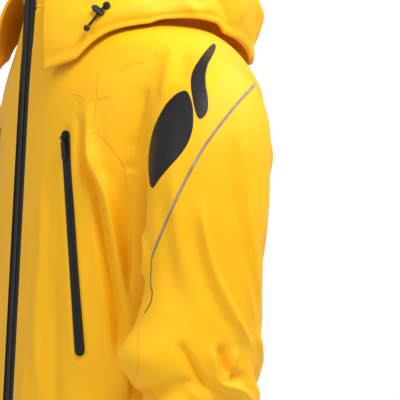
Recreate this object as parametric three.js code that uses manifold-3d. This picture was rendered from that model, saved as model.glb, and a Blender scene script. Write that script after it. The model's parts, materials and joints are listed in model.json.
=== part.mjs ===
// Insulated ski jacket, men's size L, as worn with the hood down. Millimetres, +Z up.
// The origin is the centre of the neck opening at the collar seam. The front faces -Y and
// the wearer's left side is +X. Left and right pieces are mirror images of each other.
import * as THREE from 'three';
import Module from 'manifold-3d';
import { mergeVertices } from 'three/addons/utils/BufferGeometryUtils.js';

const wasm = await Module();
wasm.setup();

// ---------------------------------------------------------------- driving dimensions
const FIT = 0.3;                    // gap between pieces that touch
const SHELL_WALL = 4;               // face fabric, wadding and backing of the shell panels
const LINING_WALL = 2;
const LINING_INSET = 11;            // lining's outer side below the shell's outer side
const NECK_HALF_WIDTH = 80;
const CHEST_HALF_WIDTH = 222;
const UNDERARM_HALF_WIDTH = 205;
const WAIST_HALF_WIDTH = 202;
const HEM_HALF_WIDTH = 212;
const HEM_Z = -720;
const HEM_BAND_HEIGHT = 30;
const WAIST_Z = -440;
const UNDERARM_Z = -246;
const SHOULDER_Z = -54;             // top of the armhole
const FRONT_AT_NECK = 116;          // centre front line, straight from chin to hem
const FRONT_AT_HEM = 158;
const BACK_AT_NECK = 80;
const BACK_AT_CHEST = 150;
const BACK_AT_WAIST = 138;
const BACK_AT_HEM = 158;
const ARMHOLE_X = 207.7;            // plane of the armhole seam
const ARMHOLE_BINDING = { width: 12, thickness: 3.6 };
const FRONT_OPENING = 17.5;         // half width between the front panels, filled by the zip
const SIDE_PANEL = { front: 0.86, back: 1.14 };   // share of a half turn from centre front
const COLLAR = { height: 76, wall: 4, lining: 2.5 };
const HANGER = { span: 56, drop: 16, strap: 2, depth: 7 };
const SLEEVE_WALL = 4;
const ELBOW_Z = -462;
const ELBOW_WEDGE = 36;             // degrees of wedge left free in front of the elbow hinge
const ELBOW_PIVOT_INSET = 30;       // hinge behind the sleeve's front
const WRIST_Z = -640;
const CUFF_HEIGHT = 34;
const CUFF_TAB = { height: 28, thickness: 2.4, startSide: -4, sides: 4 };   // in sides of the cuff
const GAITER_LENGTH = 46;
const HOOD = { wall: 5, halfWidth: 155, back: 182, front: 145, rest: 2 };
const MAIN_ZIP = { tapeThickness: 1.2, tapeDepth: 1.4, chainWidth: 7, chainThickness: 3 };
const POCKET_ZIP = { length: 268, width: 12, depth: 4, proud: 0.5, topX: 112, topZ: -154, bottomX: 147 };
const SLIDER_SMALL = { width: 8, length: 12, plate: 1.8, pin: 1, eye: 1.2, eyeWidth: 3, pull: 26, pullWidth: 6 };
const SLIDER_LARGE = { width: 12, length: 18, plate: 2.2, pin: 1.4, eye: 1.6, eyeWidth: 4, pull: 40, pullWidth: 9 };
const PULL_THICKNESS = 1.8;
const STORM_FLAP = { halfWidth: 22, thickness: 2, depth: 4.95 };
const FACING = { width: 19, thickness: 5.3, depth: 6.3, topZ: -145 };
const CHIN_GUARD = { halfWidth: 15.5, thickness: 2.2, height: 36 };
const CORD_DIAMETER = 3;
const CORD_LENGTH = 33;
const LOCK = { radius: 4.2, length: 13, bore: 2.1, mouth: 3.2, button: 2.9, pocket: 5.5, stands: 3 };
const CORD_END_RADIUS = 4;
const EYELET = { radius: 4.6, height: 6, sunk: 0.9 };
const PIPING_RADIUS = 1.3;
const SKIRT = { top: -560, bottom: -655, wall: 2.5, inset: 15, gather: 22 };
const SNAP = { radius: 7, thickness: 2.4, sunk: 0.7 };

// ---------------------------------------------------------------- small helpers
const group = new THREE.Group();
const YELLOW = 0xfaca38;
const DARK = 0x232124;
const GREY = 0x9a8a72;
const LINING_GREY = 0x3b3d42;

function material(color, roughness, metalness = 0) {
  return new THREE.MeshStandardMaterial({ color, roughness, metalness });
}

function add(name, geometry, color = YELLOW, roughness = 0.7, metalness = 0) {
  const mesh = new THREE.Mesh(geometry, material(color, roughness, metalness));
  mesh.name = name;
  group.add(mesh);
  return mesh;
}

const lerp = THREE.MathUtils.lerp;

// Smooth curve through stations [key, value, ...], one column at a time.
function station(table, key, column) {
  const last = table.length - 1;
  const rising = table[last][0] > table[0][0];
  const behind = (row) => (rising ? row[0] <= key : row[0] >= key);
  let i = 0;
  while (i < last - 1 && behind(table[i + 1])) i += 1;
  const [a, b] = [table[i], table[i + 1]];
  const before = table[Math.max(i - 1, 0)];
  const after = table[Math.min(i + 2, last)];
  const span = b[0] - a[0];
  const t = THREE.MathUtils.clamp((key - a[0]) / span, 0, 1);
  const slopeA = (b[column] - before[column]) / (b[0] - before[0] || 1) * span;
  const slopeB = (after[column] - a[column]) / (after[0] - a[0] || 1) * span;
  const [t2, t3] = [t * t, t * t * t];
  return (2 * t3 - 3 * t2 + 1) * a[column] + (t3 - 2 * t2 + t) * slopeA
    + (3 * t2 - 2 * t3) * b[column] + (t3 - t2) * slopeB;
}

// Closed wall between a surface and its inward offset. surface(u, v) is the outer side.
function shell(surface, columns, rows, wall, options = {}) {
  const { ring = false, offset = 0 } = options;
  const sides = ring ? columns : columns + 1;
  const step = 1e-3;
  const outer = [];
  const inner = [];
  for (let j = 0; j <= rows; j += 1) {
    for (let i = 0; i < sides; i += 1) {
      const u = i / columns;
      const v = j / rows;
      const at = surface(u, v);
      const du = surface(u + step, v).sub(surface(u - step, v));
      const dv = surface(u, v + step).sub(surface(u, v - step));
      const normal = dv.cross(du).normalize();
      outer.push(at.clone().addScaledVector(normal, -offset));
      inner.push(at.clone().addScaledVector(normal, -offset - wall));
    }
  }
  const points = outer.concat(inner);
  const base = outer.length;
  const index = [];
  const quad = (a, b, c, d) => index.push(a, b, c, a, c, d);
  const id = (i, j) => j * sides + (i % sides);
  for (let j = 0; j < rows; j += 1) {
    for (let i = 0; i < columns; i += 1) {
      const corners = [id(i, j), id(i + 1, j), id(i + 1, j + 1), id(i, j + 1)];
      quad(...corners);
      quad(...corners.reverse().map((k) => k + base));
    }
  }
  for (let i = 0; i < columns; i += 1) {
    quad(id(i, 0), base + id(i, 0), base + id(i + 1, 0), id(i + 1, 0));
    quad(id(i + 1, rows), base + id(i + 1, rows), base + id(i, rows), id(i, rows));
  }
  if (!ring) {
    for (let j = 0; j < rows; j += 1) {
      quad(id(0, j + 1), base + id(0, j + 1), base + id(0, j), id(0, j));
      const e = columns;
      quad(id(e, j), base + id(e, j), base + id(e, j + 1), id(e, j + 1));
    }
  }
  return closed(points, index);
}

function closed(points, index) {
  let volume = 0;
  for (let k = 0; k < index.length; k += 3) {
    const [a, b, c] = [points[index[k]], points[index[k + 1]], points[index[k + 2]]];
    volume += a.dot(b.clone().cross(c));
  }
  if (volume < 0) index.reverse();
  const geometry = new THREE.BufferGeometry();
  const positions = points.flatMap((p) => [p.x, p.y, p.z]);
  geometry.setAttribute('position', new THREE.Float32BufferAttribute(positions, 3));
  geometry.setIndex(index);
  return geometry;
}

function solid(geometry) {
  const plain = geometry.clone();
  plain.deleteAttribute('normal');
  plain.deleteAttribute('uv');
  const merged = mergeVertices(plain, 1e-4);
  const vertProperties = new Float32Array(merged.attributes.position.array);
  const triVerts = new Uint32Array(merged.index.array);
  return new wasm.Manifold(new wasm.Mesh({ numProp: 3, vertProperties, triVerts }));
}

function geometryOf(manifold) {
  const mesh = manifold.getMesh();
  const geometry = new THREE.BufferGeometry();
  const positions = new Float32Array(mesh.vertProperties);
  geometry.setAttribute('position', new THREE.BufferAttribute(positions, 3));
  geometry.setIndex(new THREE.BufferAttribute(new Uint32Array(mesh.triVerts), 1));
  return geometry;
}

function cut(geometry, ...tools) {
  return geometryOf(tools.reduce((left, tool) => left.subtract(solid(tool)), solid(geometry)));
}

function join(first, ...others) {
  return geometryOf(others.reduce((left, other) => left.add(solid(other)), solid(first)));
}

function mirrored(geometry) {
  const copy = geometry.clone().applyMatrix4(new THREE.Matrix4().makeScale(-1, 1, 1));
  const index = Array.from(copy.index ? copy.index.array : mergeVertices(copy).index.array);
  const source = copy.index ? copy : mergeVertices(copy);
  const flipped = new THREE.BufferGeometry();
  flipped.setAttribute('position', source.attributes.position);
  flipped.setIndex(index.reverse());
  return flipped;
}

function addPair(name, geometry, ...look) {
  add(`${name}_left`, geometry, ...look);
  add(`${name}_right`, mirrored(geometry), ...look);
}

// ---------------------------------------------------------------- torso surface
const frontSlope = (FRONT_AT_HEM - FRONT_AT_NECK) / -HEM_Z;
const frontDepth = (z) => FRONT_AT_NECK - frontSlope * z;

// [z, half width, back depth, front roundness exponent, back roundness exponent]
const TORSO = [
  [-4, NECK_HALF_WIDTH, BACK_AT_NECK, 2.0, 2.0],
  [-20, 126, 98, 1.7, 2.0],
  [-38, 180, 113, 1.55, 2.1],
  [SHOULDER_Z, ARMHOLE_X + 0.5, 124, 1.55, 2.3],
  [-76, CHEST_HALF_WIDTH - 3, 135, 1.7, 2.7],
  [-112, CHEST_HALF_WIDTH, 148, 2.05, 3.1],
  [-180, CHEST_HALF_WIDTH - 2, BACK_AT_CHEST, 2.28, 3.1],
  [UNDERARM_Z, UNDERARM_HALF_WIDTH, BACK_AT_CHEST, 2.4, 2.7],
  [UNDERARM_Z - 60, (UNDERARM_HALF_WIDTH + WAIST_HALF_WIDTH) / 2, 145, 2.4, 2.5],
  [WAIST_Z, WAIST_HALF_WIDTH, BACK_AT_WAIST, 2.4, 2.4],
  [(WAIST_Z + HEM_Z) / 2, (WAIST_HALF_WIDTH + HEM_HALF_WIDTH) / 2, 148, 2.4, 2.4],
  [HEM_Z, HEM_HALF_WIDTH, BACK_AT_HEM, 2.3, 2.3],
];

// Turn 0 is centre front, 1 is centre back, by the wearer's left side; -1..0 is the right.
function torsoPoint(turn, z) {
  const width = station(TORSO, z, 1);
  const angle = turn * Math.PI;
  const across = Math.sin(angle);
  const ahead = -Math.cos(angle);
  const power = station(TORSO, z, ahead < 0 ? 3 : 4);
  const depth = ahead < 0 ? frontDepth(z) : station(TORSO, z, 2);
  const bend = (value) => Math.sign(value) * Math.abs(value) ** (2 / power);
  return new THREE.Vector3(width * bend(across), depth * bend(ahead), z);
}

function torsoDepthAt(x, z, front) {
  const share = Math.min(Math.abs(x) / station(TORSO, z, 1), 1);
  const power = station(TORSO, z, front ? 3 : 4);
  const depth = front ? -frontDepth(z) : station(TORSO, z, 2);
  return depth * (1 - share ** power) ** (1 / power);
}

// Turn at which the torso surface reaches a given x on the front.
function frontTurnAt(x, z) {
  const power = station(TORSO, z, 3);
  return Math.asin((x / station(TORSO, z, 1)) ** (power / 2)) / Math.PI;
}

const seamGap = 0.001;              // half gap at a panel seam, as a share of a half turn

function torsoPanel(turnFrom, turnTo, zFrom, zTo, columns, rows, wall = SHELL_WALL, offset = 0) {
  const at = (value, v) => (typeof value === 'function' ? value(v) : value);
  const surface = (u, v) => {
    const z = lerp(zFrom, zTo, v);
    const from = at(turnFrom, z) + seamGap;
    const to = at(turnTo, z) - seamGap;
    return torsoPoint(lerp(from, to, u), z);
  };
  return shell(surface, columns, rows, wall, { offset });
}

// Everything of the torso outside the armhole plane is cut away.
function armholeCutter(plane) {
  const size = 400;
  const box = new THREE.BoxGeometry(size, size, size);
  box.translate(plane + size / 2, 0, -size / 2 - 20);
  return box;
}

// ---------------------------------------------------------------- torso panels
const YOKE_Z = -104;                // lower edge of the shoulder yoke at the front
const PANEL_BOTTOM = HEM_Z + HEM_BAND_HEIGHT + FIT;
const openingTurn = (z) => frontTurnAt(FRONT_OPENING, z);
const sideFront = SIDE_PANEL.front / 2;
const sideBack = SIDE_PANEL.back / 2;

function pocketZipFrame() {
  const top = new THREE.Vector3(POCKET_ZIP.topX, 0, POCKET_ZIP.topZ);
  top.y = torsoDepthAt(top.x, top.z, true);
  const rough = new THREE.Vector3(POCKET_ZIP.bottomX, 0, POCKET_ZIP.topZ - POCKET_ZIP.length);
  rough.y = torsoDepthAt(rough.x, rough.z, true);
  const along = rough.clone().sub(top).normalize();
  const middleZ = (top.z + rough.z) / 2;
  const turn = frontTurnAt((top.x + rough.x) / 2, middleZ);
  const ahead = torsoPoint(turn + 0.01, middleZ).sub(torsoPoint(turn - 0.01, middleZ));
  const outward = ahead.cross(along).normalize();
  if (outward.y > 0) outward.negate();
  const across = new THREE.Vector3().crossVectors(along, outward).normalize();
  const frame = new THREE.Matrix4().makeBasis(across, outward, along.clone().negate());
  return frame.setPosition(top.addScaledVector(outward, 0.8));
}

// Rounded strip in the local frame: X across, Y outward, -Z along from the origin.
function strip(width, length, yLow, yHigh) {
  const r = width / 2;
  const shape = new THREE.Shape();
  shape.moveTo(-r, -r);
  shape.absarc(0, -length + r, r, Math.PI, 2 * Math.PI, false);
  shape.absarc(0, -r, r, 0, Math.PI, false);
  const depth = yHigh - yLow;
  const flat = new THREE.ExtrudeGeometry(shape, { depth, bevelEnabled: false, curveSegments: 5 });
  const turned = flat.applyMatrix4(new THREE.Matrix4().makeRotationX(Math.PI / 2));
  return turned.translate(0, yHigh, 0);
}

const zipFrame = pocketZipFrame();
const pocketSlot = strip(POCKET_ZIP.width + 2 * FIT, POCKET_ZIP.length + 2 * FIT, -20, 20);
pocketSlot.translate(0, 0, FIT).applyMatrix4(zipFrame);

const frontPanel = torsoPanel(openingTurn, sideFront, YOKE_Z - FIT, PANEL_BOTTOM, 7, 11);
addPair('front_panel', cut(frontPanel, armholeCutter(ARMHOLE_X), pocketSlot));

const sidePanel = torsoPanel(sideFront, sideBack, UNDERARM_Z - 4, PANEL_BOTTOM, 3, 7);
addPair('side_panel', sidePanel);

const halfBack = torsoPanel(sideBack, 2 - sideBack, YOKE_Z - FIT, PANEL_BOTTOM, 12, 11);
const backCut = cut(halfBack, armholeCutter(ARMHOLE_X), mirrored(armholeCutter(ARMHOLE_X)));
add('back_panel', backCut);

const yoke = torsoPanel(openingTurn, 1, -4, YOKE_Z, 14, 5);
addPair('yoke', cut(yoke, armholeCutter(ARMHOLE_X)));

// ---------------------------------------------------------------- armhole binding
// Height, between two levels, where the torso is just as wide as the armhole plane.
function levelOfArmhole(inside, outside) {
  let [low, high] = [inside, outside];
  for (let i = 0; i < 40; i += 1) {
    const middle = (low + high) / 2;
    if (station(TORSO, middle, 1) > ARMHOLE_X) low = middle;
    else high = middle;
  }
  return low;
}
const armholeTop = levelOfArmhole(-112, -38);
const armholeBottom = levelOfArmhole(-112, UNDERARM_Z);

function armholeOutline() {
  const middle = (armholeTop + armholeBottom) / 2;
  const half = (armholeTop - armholeBottom) / 2;
  const points = [];
  const count = 24;
  for (let i = 0; i < count; i += 1) {
    const angle = ((i + 0.5) / count) * 2 * Math.PI;
    const z = middle + half * Math.cos(angle);
    points.push(new THREE.Vector2(torsoDepthAt(ARMHOLE_X, z, Math.sin(angle) > 0), z));
  }
  return points;
}

function armholeBinding() {
  const outline = armholeOutline();
  const centre = new THREE.Vector2(14, (armholeTop + armholeBottom) / 2);
  const moved = (point, by) => {
    const away = point.clone().sub(centre);
    return centre.clone().add(away.setLength(away.length() + by));
  };
  const rim = new THREE.Shape(outline.map((p) => moved(p, ARMHOLE_BINDING.width / 4)));
  const hole = outline.map((p) => moved(p, -ARMHOLE_BINDING.width * 3 / 4));
  rim.holes.push(new THREE.Path(hole.reverse()));
  const depth = ARMHOLE_BINDING.thickness;
  const flat = new THREE.ExtrudeGeometry(rim, { depth, bevelEnabled: false });
  const turn = new THREE.Matrix4().makeBasis(
    new THREE.Vector3(0, 1, 0), new THREE.Vector3(0, 0, 1), new THREE.Vector3(1, 0, 0));
  return flat.applyMatrix4(turn).translate(ARMHOLE_X + FIT, 0, 0);
}
addPair('armhole_binding', armholeBinding());

// ---------------------------------------------------------------- sleeves
const sleeveStart = ARMHOLE_X + ARMHOLE_BINDING.thickness + 2 * FIT;

// [t, inner x, inner z, outer x, outer z, centre y, half depth]
const SLEEVE = [
  [0.0, sleeveStart, armholeBottom, sleeveStart, armholeTop, 18, 68],
  [0.1, sleeveStart + 1, -249, 256, -70, 17, 76],
  [0.2, sleeveStart + 2, -254, 298, -105, 11, 77],
  [0.3, sleeveStart + 2, -260, 327, -160, 3, 75],
  [0.4, sleeveStart + 3, -268, 337, -235, -1, 74],
  [0.5, sleeveStart + 3, -325, 338, -320, -5, 70],
  [0.6, sleeveStart + 4, -375, 338, -372, -12, 76],
  [0.66, sleeveStart + 4, -412, 338, -411, -24, 85],
  [0.72, sleeveStart + 5, ELBOW_Z, 336, ELBOW_Z, -12, 74],
  [0.82, sleeveStart + 10, -535, 334, -535, -32, 67],
  [0.92, sleeveStart + 17, -600, 331, -600, -60, 60],
  [1.0, sleeveStart + 22, WRIST_Z, 328, WRIST_Z, -78, 54],
];

// Turn 0 is the outer side, 0.25 the back, 0.5 the inner side and 0.75 the front.
function sleevePoint(turn, t) {
  const value = (column) => station(SLEEVE, t, column);
  const inner = new THREE.Vector3(value(1), 0, value(2));
  const outer = new THREE.Vector3(value(3), 0, value(4));
  const across = outer.clone().sub(inner).multiplyScalar(0.5);
  const centre = inner.add(across).setY(value(5));
  const angle = turn * 2 * Math.PI;
  return centre.addScaledVector(across, Math.cos(angle)).add(
    new THREE.Vector3(0, value(6) * Math.sin(angle), 0));
}

const SPLIT_T = 0.72;
const elbowRing = { y: station(SLEEVE, SPLIT_T, 5), half: station(SLEEVE, SPLIT_T, 6) };
const elbowPivotY = elbowRing.y - elbowRing.half + ELBOW_PIVOT_INSET;
const wedgeSlope = Math.tan(THREE.MathUtils.degToRad(ELBOW_WEDGE));

// Height of a sleeve point after the wedge in front of the elbow hinge is taken off.
function sleevePart(tFrom, tTo, wedgeSign) {
  return (u, v) => {
    const t = lerp(tFrom, tTo, v);
    const point = sleevePoint(u, t);
    const ahead = Math.max(elbowPivotY - point.y, 0);
    const limit = ELBOW_Z + wedgeSign * (FIT / 2 + ahead * wedgeSlope);
    if (wedgeSign > 0) point.z = Math.max(point.z, limit);
    return point;
  };
}

function wedgeCutter(sign) {
  const reach = 150;
  const rise = reach * wedgeSlope;
  const shape = new THREE.Shape([
    new THREE.Vector2(elbowPivotY, 0), new THREE.Vector2(elbowPivotY - reach, sign * rise),
    new THREE.Vector2(elbowPivotY - reach, -sign * 60), new THREE.Vector2(200, -sign * 60),
    new THREE.Vector2(200, 0)]);
  const slab = new THREE.ExtrudeGeometry(shape, { depth: 300, bevelEnabled: false });
  const turn = new THREE.Matrix4().makeBasis(
    new THREE.Vector3(0, 1, 0), new THREE.Vector3(0, 0, 1), new THREE.Vector3(1, 0, 0));
  return slab.applyMatrix4(turn).translate(150, 0, ELBOW_Z + sign * FIT / 2);
}

const SLEEVE_SIDES = 16;
const overrun = 0.02;
const upperTube = shell((u, v) => sleevePoint(u, lerp(0, SPLIT_T + overrun, v)),
  SLEEVE_SIDES, 12, SLEEVE_WALL, { ring: true });
const torsoSide = new THREE.BoxGeometry(400, 400, 400).translate(sleeveStart - 200, 0, -250);
addPair('sleeve_upper', cut(upperTube, wedgeCutter(1), torsoSide));

const lowerTube = shell((u, v) => sleevePoint(u, lerp(SPLIT_T - overrun, 1, v)),
  SLEEVE_SIDES, 6, SLEEVE_WALL, { ring: true });
const belowWrist = new THREE.BoxGeometry(400, 400, 100).translate(275, 0, WRIST_Z - 50);
addPair('sleeve_forearm', cut(lowerTube, wedgeCutter(-1), belowWrist));

// Cuff, its tab and the stretch gaiter inside it continue the forearm's last stretch.
const wrist = {
  x: (station(SLEEVE, 1, 1) + station(SLEEVE, 1, 3)) / 2,
  y: station(SLEEVE, 1, 5),
  halfX: (station(SLEEVE, 1, 3) - station(SLEEVE, 1, 1)) / 2,
  halfY: station(SLEEVE, 1, 6),
};
const forearmLean = (station(SLEEVE, 1, 5) - station(SLEEVE, 0.92, 5)) / (WRIST_Z + 600);

function cuffPoint(turn, z, grow = 0) {
  const angle = turn * 2 * Math.PI;
  return new THREE.Vector3(
    wrist.x + (wrist.halfX + grow) * Math.cos(angle),
    wrist.y + forearmLean * (z - WRIST_Z) + (wrist.halfY + grow) * Math.sin(angle), z);
}

const cuffTop = WRIST_Z - FIT;
const cuffBottom = cuffTop - CUFF_HEIGHT;
const cuff = shell((u, v) => cuffPoint(u, lerp(cuffTop, cuffBottom, v)),
  SLEEVE_SIDES, 1, SLEEVE_WALL, { ring: true });
addPair('cuff', cuff);

const gaiterTop = WRIST_Z + 10;
const gaiter = shell((u, v) => cuffPoint(u, lerp(gaiterTop, gaiterTop - GAITER_LENGTH, v),
  -SLEEVE_WALL - FIT - 10 * v), SLEEVE_SIDES, 2, 2.5, { ring: true });
addPair('wrist_gaiter', gaiter, LINING_GREY, 0.9);

const tabTop = (cuffTop + cuffBottom + CUFF_TAB.height) / 2;
const tabSurface = (u, v) => {
  const turn = (CUFF_TAB.startSide + CUFF_TAB.sides * u) / SLEEVE_SIDES;
  return cuffPoint(turn, lerp(tabTop, tabTop - CUFF_TAB.height, v), CUFF_TAB.thickness + 2 * FIT);
};
addPair('cuff_tab', shell(tabSurface, CUFF_TAB.sides, 1, CUFF_TAB.thickness), DARK, 0.6);

// ---------------------------------------------------------------- sleeve piping
// Runs from the back of the shoulder, over the outer side, to the front of the sleeve.
const PIPING_ROUTE = [
  [0.1, 0.15], [0.04, 0.22], [-0.01, 0.26], [-0.04, 0.2875], [-0.08, 0.315],
  [-0.12, 0.3575], [-0.16, 0.4], [-0.2, 0.4375], [-0.235, 0.465], [-0.26, 0.49],
];

function sleeveNormal(turn, t) {
  const step = 1e-3;
  const around = sleevePoint(turn + step, t).sub(sleevePoint(turn - step, t));
  const down = sleevePoint(turn, t + step).sub(sleevePoint(turn, t - step));
  return down.cross(around).normalize().negate();
}

function sleevePiping() {
  const lift = PIPING_RADIUS + 2 * FIT;
  const centre = new THREE.Vector3(275, 0, -250);
  const flat = PIPING_ROUTE.map(([turn, t]) => new THREE.Vector3(turn, t, 0));
  const route = new THREE.CatmullRomCurve3(flat).getPoints(40);
  const points = route.map(({ x: turn, y: t }) => {
    const at = sleevePoint(turn, t);
    const normal = sleeveNormal(turn, t);
    if (normal.dot(at.clone().sub(centre)) < 0) normal.negate();
    return at.addScaledVector(normal, lift);
  });
  const path = new THREE.CatmullRomCurve3(points);
  const section = new THREE.Shape();
  section.absarc(0, 0, PIPING_RADIUS, 0, 2 * Math.PI, false);
  return new THREE.ExtrudeGeometry(section,
    { steps: 40, curveSegments: 3, bevelEnabled: false, extrudePath: path });
}
addPair('sleeve_piping', sleevePiping(), GREY, 0.45);

// ---------------------------------------------------------------- collar
const seamZ = -4;                   // collar seam, the top edge of the yokes
const collarBottom = seamZ + FIT;
const collarTop = collarBottom + COLLAR.height;

function collarPoint(turn, z, grow) {
  const angle = turn * Math.PI;
  const ahead = -Math.cos(angle);
  const depth = ahead < 0 ? frontDepth(z) : BACK_AT_NECK - 0.2;
  const width = NECK_HALF_WIDTH - 0.2;
  return new THREE.Vector3((width + grow) * Math.sin(angle), (depth + grow) * ahead, z);
}

const collarGap = Math.asin(FRONT_OPENING / NECK_HALF_WIDTH) / Math.PI;
function collarBand(bottom, top, wall, grow) {
  const turnAt = (u) => lerp(collarGap, 2 - collarGap, u);
  return shell((u, v) => collarPoint(turnAt(u), lerp(top, bottom, v), grow), 24, 1, wall);
}
add('collar', collarBand(collarBottom, collarTop, COLLAR.wall, 0));
const liningGrow = -COLLAR.wall - FIT;
const collarLiningBottom = collarBottom + 2;
add('collar_lining', collarBand(collarLiningBottom, collarTop - 2, COLLAR.lining, liningGrow),
  LINING_GREY, 0.95);

function hangerLoop() {
  const { span, drop, strap, depth } = HANGER;
  const outer = new THREE.Shape();
  outer.moveTo(-span / 2, 0);
  outer.lineTo(-span / 2, -drop / 2);
  outer.quadraticCurveTo(-span / 2, -drop, 0, -drop);
  outer.quadraticCurveTo(span / 2, -drop, span / 2, -drop / 2);
  outer.lineTo(span / 2, 0);
  outer.lineTo(span / 2 - strap, 0);
  outer.lineTo(span / 2 - strap, -drop / 2);
  outer.quadraticCurveTo(span / 2 - strap, -drop + strap, 0, -drop + strap);
  outer.quadraticCurveTo(-span / 2 + strap, -drop + strap, -span / 2 + strap, -drop / 2);
  outer.lineTo(-span / 2 + strap, 0);
  const flat = new THREE.ExtrudeGeometry(outer, { depth, bevelEnabled: false, curveSegments: 4 });
  flat.rotateX(Math.PI / 2);
  const back = BACK_AT_NECK - COLLAR.wall - COLLAR.lining - depth / 2;
  return flat.translate(0, back - 4, collarLiningBottom - FIT);
}
add('hanger_loop', hangerLoop(), DARK, 0.8);

// ---------------------------------------------------------------- hem, lining, powder skirt
const hemBand = shell((u, v) => {
  const z = lerp(HEM_Z + HEM_BAND_HEIGHT, HEM_Z, v);
  const edge = openingTurn(z) + seamGap;
  return torsoPoint(lerp(edge, 2 - edge, u), z);
}, 28, 1, SHELL_WALL + 1);
add('hem_band', hemBand);

const liningTop = YOKE_Z - 2;
const liningPanel = shell((u, v) => {
  const z = lerp(liningTop, SKIRT.top, v);
  const edge = openingTurn(z) + 0.03;
  return torsoPoint(lerp(edge, 2 - edge, u), z);
}, 28, 5, LINING_WALL, { offset: LINING_INSET });
const liningPlane = ARMHOLE_X - LINING_INSET + 1;
add('body_lining', cut(liningPanel, armholeCutter(liningPlane),
  mirrored(armholeCutter(liningPlane))), LINING_GREY, 0.95);

const skirtBand = shell((u, v) => {
  const z = lerp(SKIRT.top - 1.6, SKIRT.bottom, v);
  const edge = openingTurn(z) + 0.03;
  const at = torsoPoint(lerp(edge, 2 - edge, u), z);
  const shrink = 1 - (LINING_INSET + SKIRT.gather * v) / 180;
  return new THREE.Vector3(at.x * shrink, at.y * shrink, z);
}, 22, 2, SKIRT.wall);
add('powder_skirt', skirtBand, LINING_GREY, 0.8);

// ---------------------------------------------------------------- hood, lying open behind the neck
// [turn from front, level of the fold's top, level of the hanging lower edge]
const HOOD_STATIONS = [
  [0.16, 8, -82],
  [0.30, 16, -62],
  [0.42, 18, -36],
  [0.50, 19, -20],
  [0.62, 40, -24],
  [0.70, 50, -52],
  [0.82, 56, -76],
  [1.00, 60, -86],
];

function hoodOutline(turn, inner) {
  const angle = turn * Math.PI;
  const ahead = -Math.cos(angle);
  const width = inner ? NECK_HALF_WIDTH + 0.4 : HOOD.halfWidth;
  const back = inner ? 108 : HOOD.back;
  const front = inner ? FRONT_AT_NECK + 1 : HOOD.front;
  const innerPower = ahead < 0 ? 2 : 5;
  const power = inner ? innerPower : 2.2;
  const bend = (value) => Math.sign(value) * Math.abs(value) ** (2 / power);
  return new THREE.Vector2(width * bend(Math.sin(angle)), (ahead < 0 ? front : back) * bend(ahead));
}

// Level at which the torso surface passes through a point seen from above.
function restLevel(at) {
  const inside = (z) => {
    const power = station(TORSO, z, at.y < 0 ? 3 : 4);
    const depth = at.y < 0 ? frontDepth(z) : station(TORSO, z, 2);
    return (Math.abs(at.x) / station(TORSO, z, 1)) ** power + (Math.abs(at.y) / depth) ** power < 1;
  };
  let [low, high] = [-400, seamZ];
  for (let i = 0; i < 30; i += 1) {
    const middle = (low + high) / 2;
    if (inside(middle)) low = middle;
    else high = middle;
  }
  return low;
}

// Arch over the fold: v = 0 is the inner seam at the collar, 1 the hanging lower edge.
function hoodPoint(turn, v) {
  const inner = hoodOutline(turn, true);
  const outer = hoodOutline(turn, false);
  const side = turn > 1 ? 2 - turn : turn;
  const top = station(HOOD_STATIONS, side, 1);
  const wallInside = outer.clone().setLength(outer.length() - 2 * HOOD.wall);
  const low = Math.max(station(HOOD_STATIONS, side, 2), restLevel(wallInside) + HOOD.rest);
  const seam = 1;
  const rise = (top * 4 - seam - low) / 3 * 0.78;
  const reach = [0, 0.02, 0.98, 0.98];
  const level = [seam, rise, rise, low];
  const weights = [(1 - v) ** 3, 3 * v * (1 - v) ** 2, 3 * v * v * (1 - v), v ** 3];
  const across = weights.reduce((sum, w, k) => sum + w * reach[k], 0);
  const z = weights.reduce((sum, w, k) => sum + w * level[k], 0);
  const at = inner.clone().lerp(outer, across);
  return new THREE.Vector3(at.x, at.y, z);
}

const hoodGap = 0.002;
const hoodSide = 0.5;               // the hood turns at the sides of the neck
const cheek = shell((u, v) => hoodPoint(lerp(HOOD_STATIONS[0][0], hoodSide - hoodGap, u), v),
  6, 7, HOOD.wall);
addPair('hood_cheek', cheek);
const hoodBack = shell((u, v) => hoodPoint(lerp(hoodSide, 2 - hoodSide, u), v), 18, 7, HOOD.wall);
add('hood_back', hoodBack);

// ---------------------------------------------------------------- zips
function box(xLow, xHigh, yLow, yHigh, zLow, zHigh) {
  const shape = new THREE.BoxGeometry(xHigh - xLow, yHigh - yLow, zHigh - zLow);
  return shape.translate((xLow + xHigh) / 2, (yLow + yHigh) / 2, (zLow + zHigh) / 2);
}

function rod(radius, xLow, xHigh, y, z, sides = 12) {
  const shape = new THREE.CylinderGeometry(radius, radius, xHigh - xLow, sides);
  return shape.rotateZ(Math.PI / 2).translate((xLow + xHigh) / 2, y, z);
}

// Slider in a zip's own frame: its front end is at z = 0 and its underside at y = 0.
function pinAt(size) {
  return { y: size.plate + size.pin + size.eye + 2 * FIT, z: -size.length / 3 };
}

function zipSlider(size, ...extras) {
  const { y, z } = pinAt(size);
  const inside = size.eyeWidth / 2 + FIT;
  const ear = (side) => box(Math.min(side * inside, side * (inside + 1.2)),
    Math.max(side * inside, side * (inside + 1.2)),
    size.plate / 2, y + size.pin + 0.6, z - size.pin - 1, z + size.pin + 1);
  const plate = box(-size.width / 2, size.width / 2, 0, size.plate, -size.length, 0);
  const pin = rod(size.pin, -inside - 0.6, inside + 0.6, y, z);
  return join(plate, ear(1), ear(-1), pin, ...extras);
}

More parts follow.
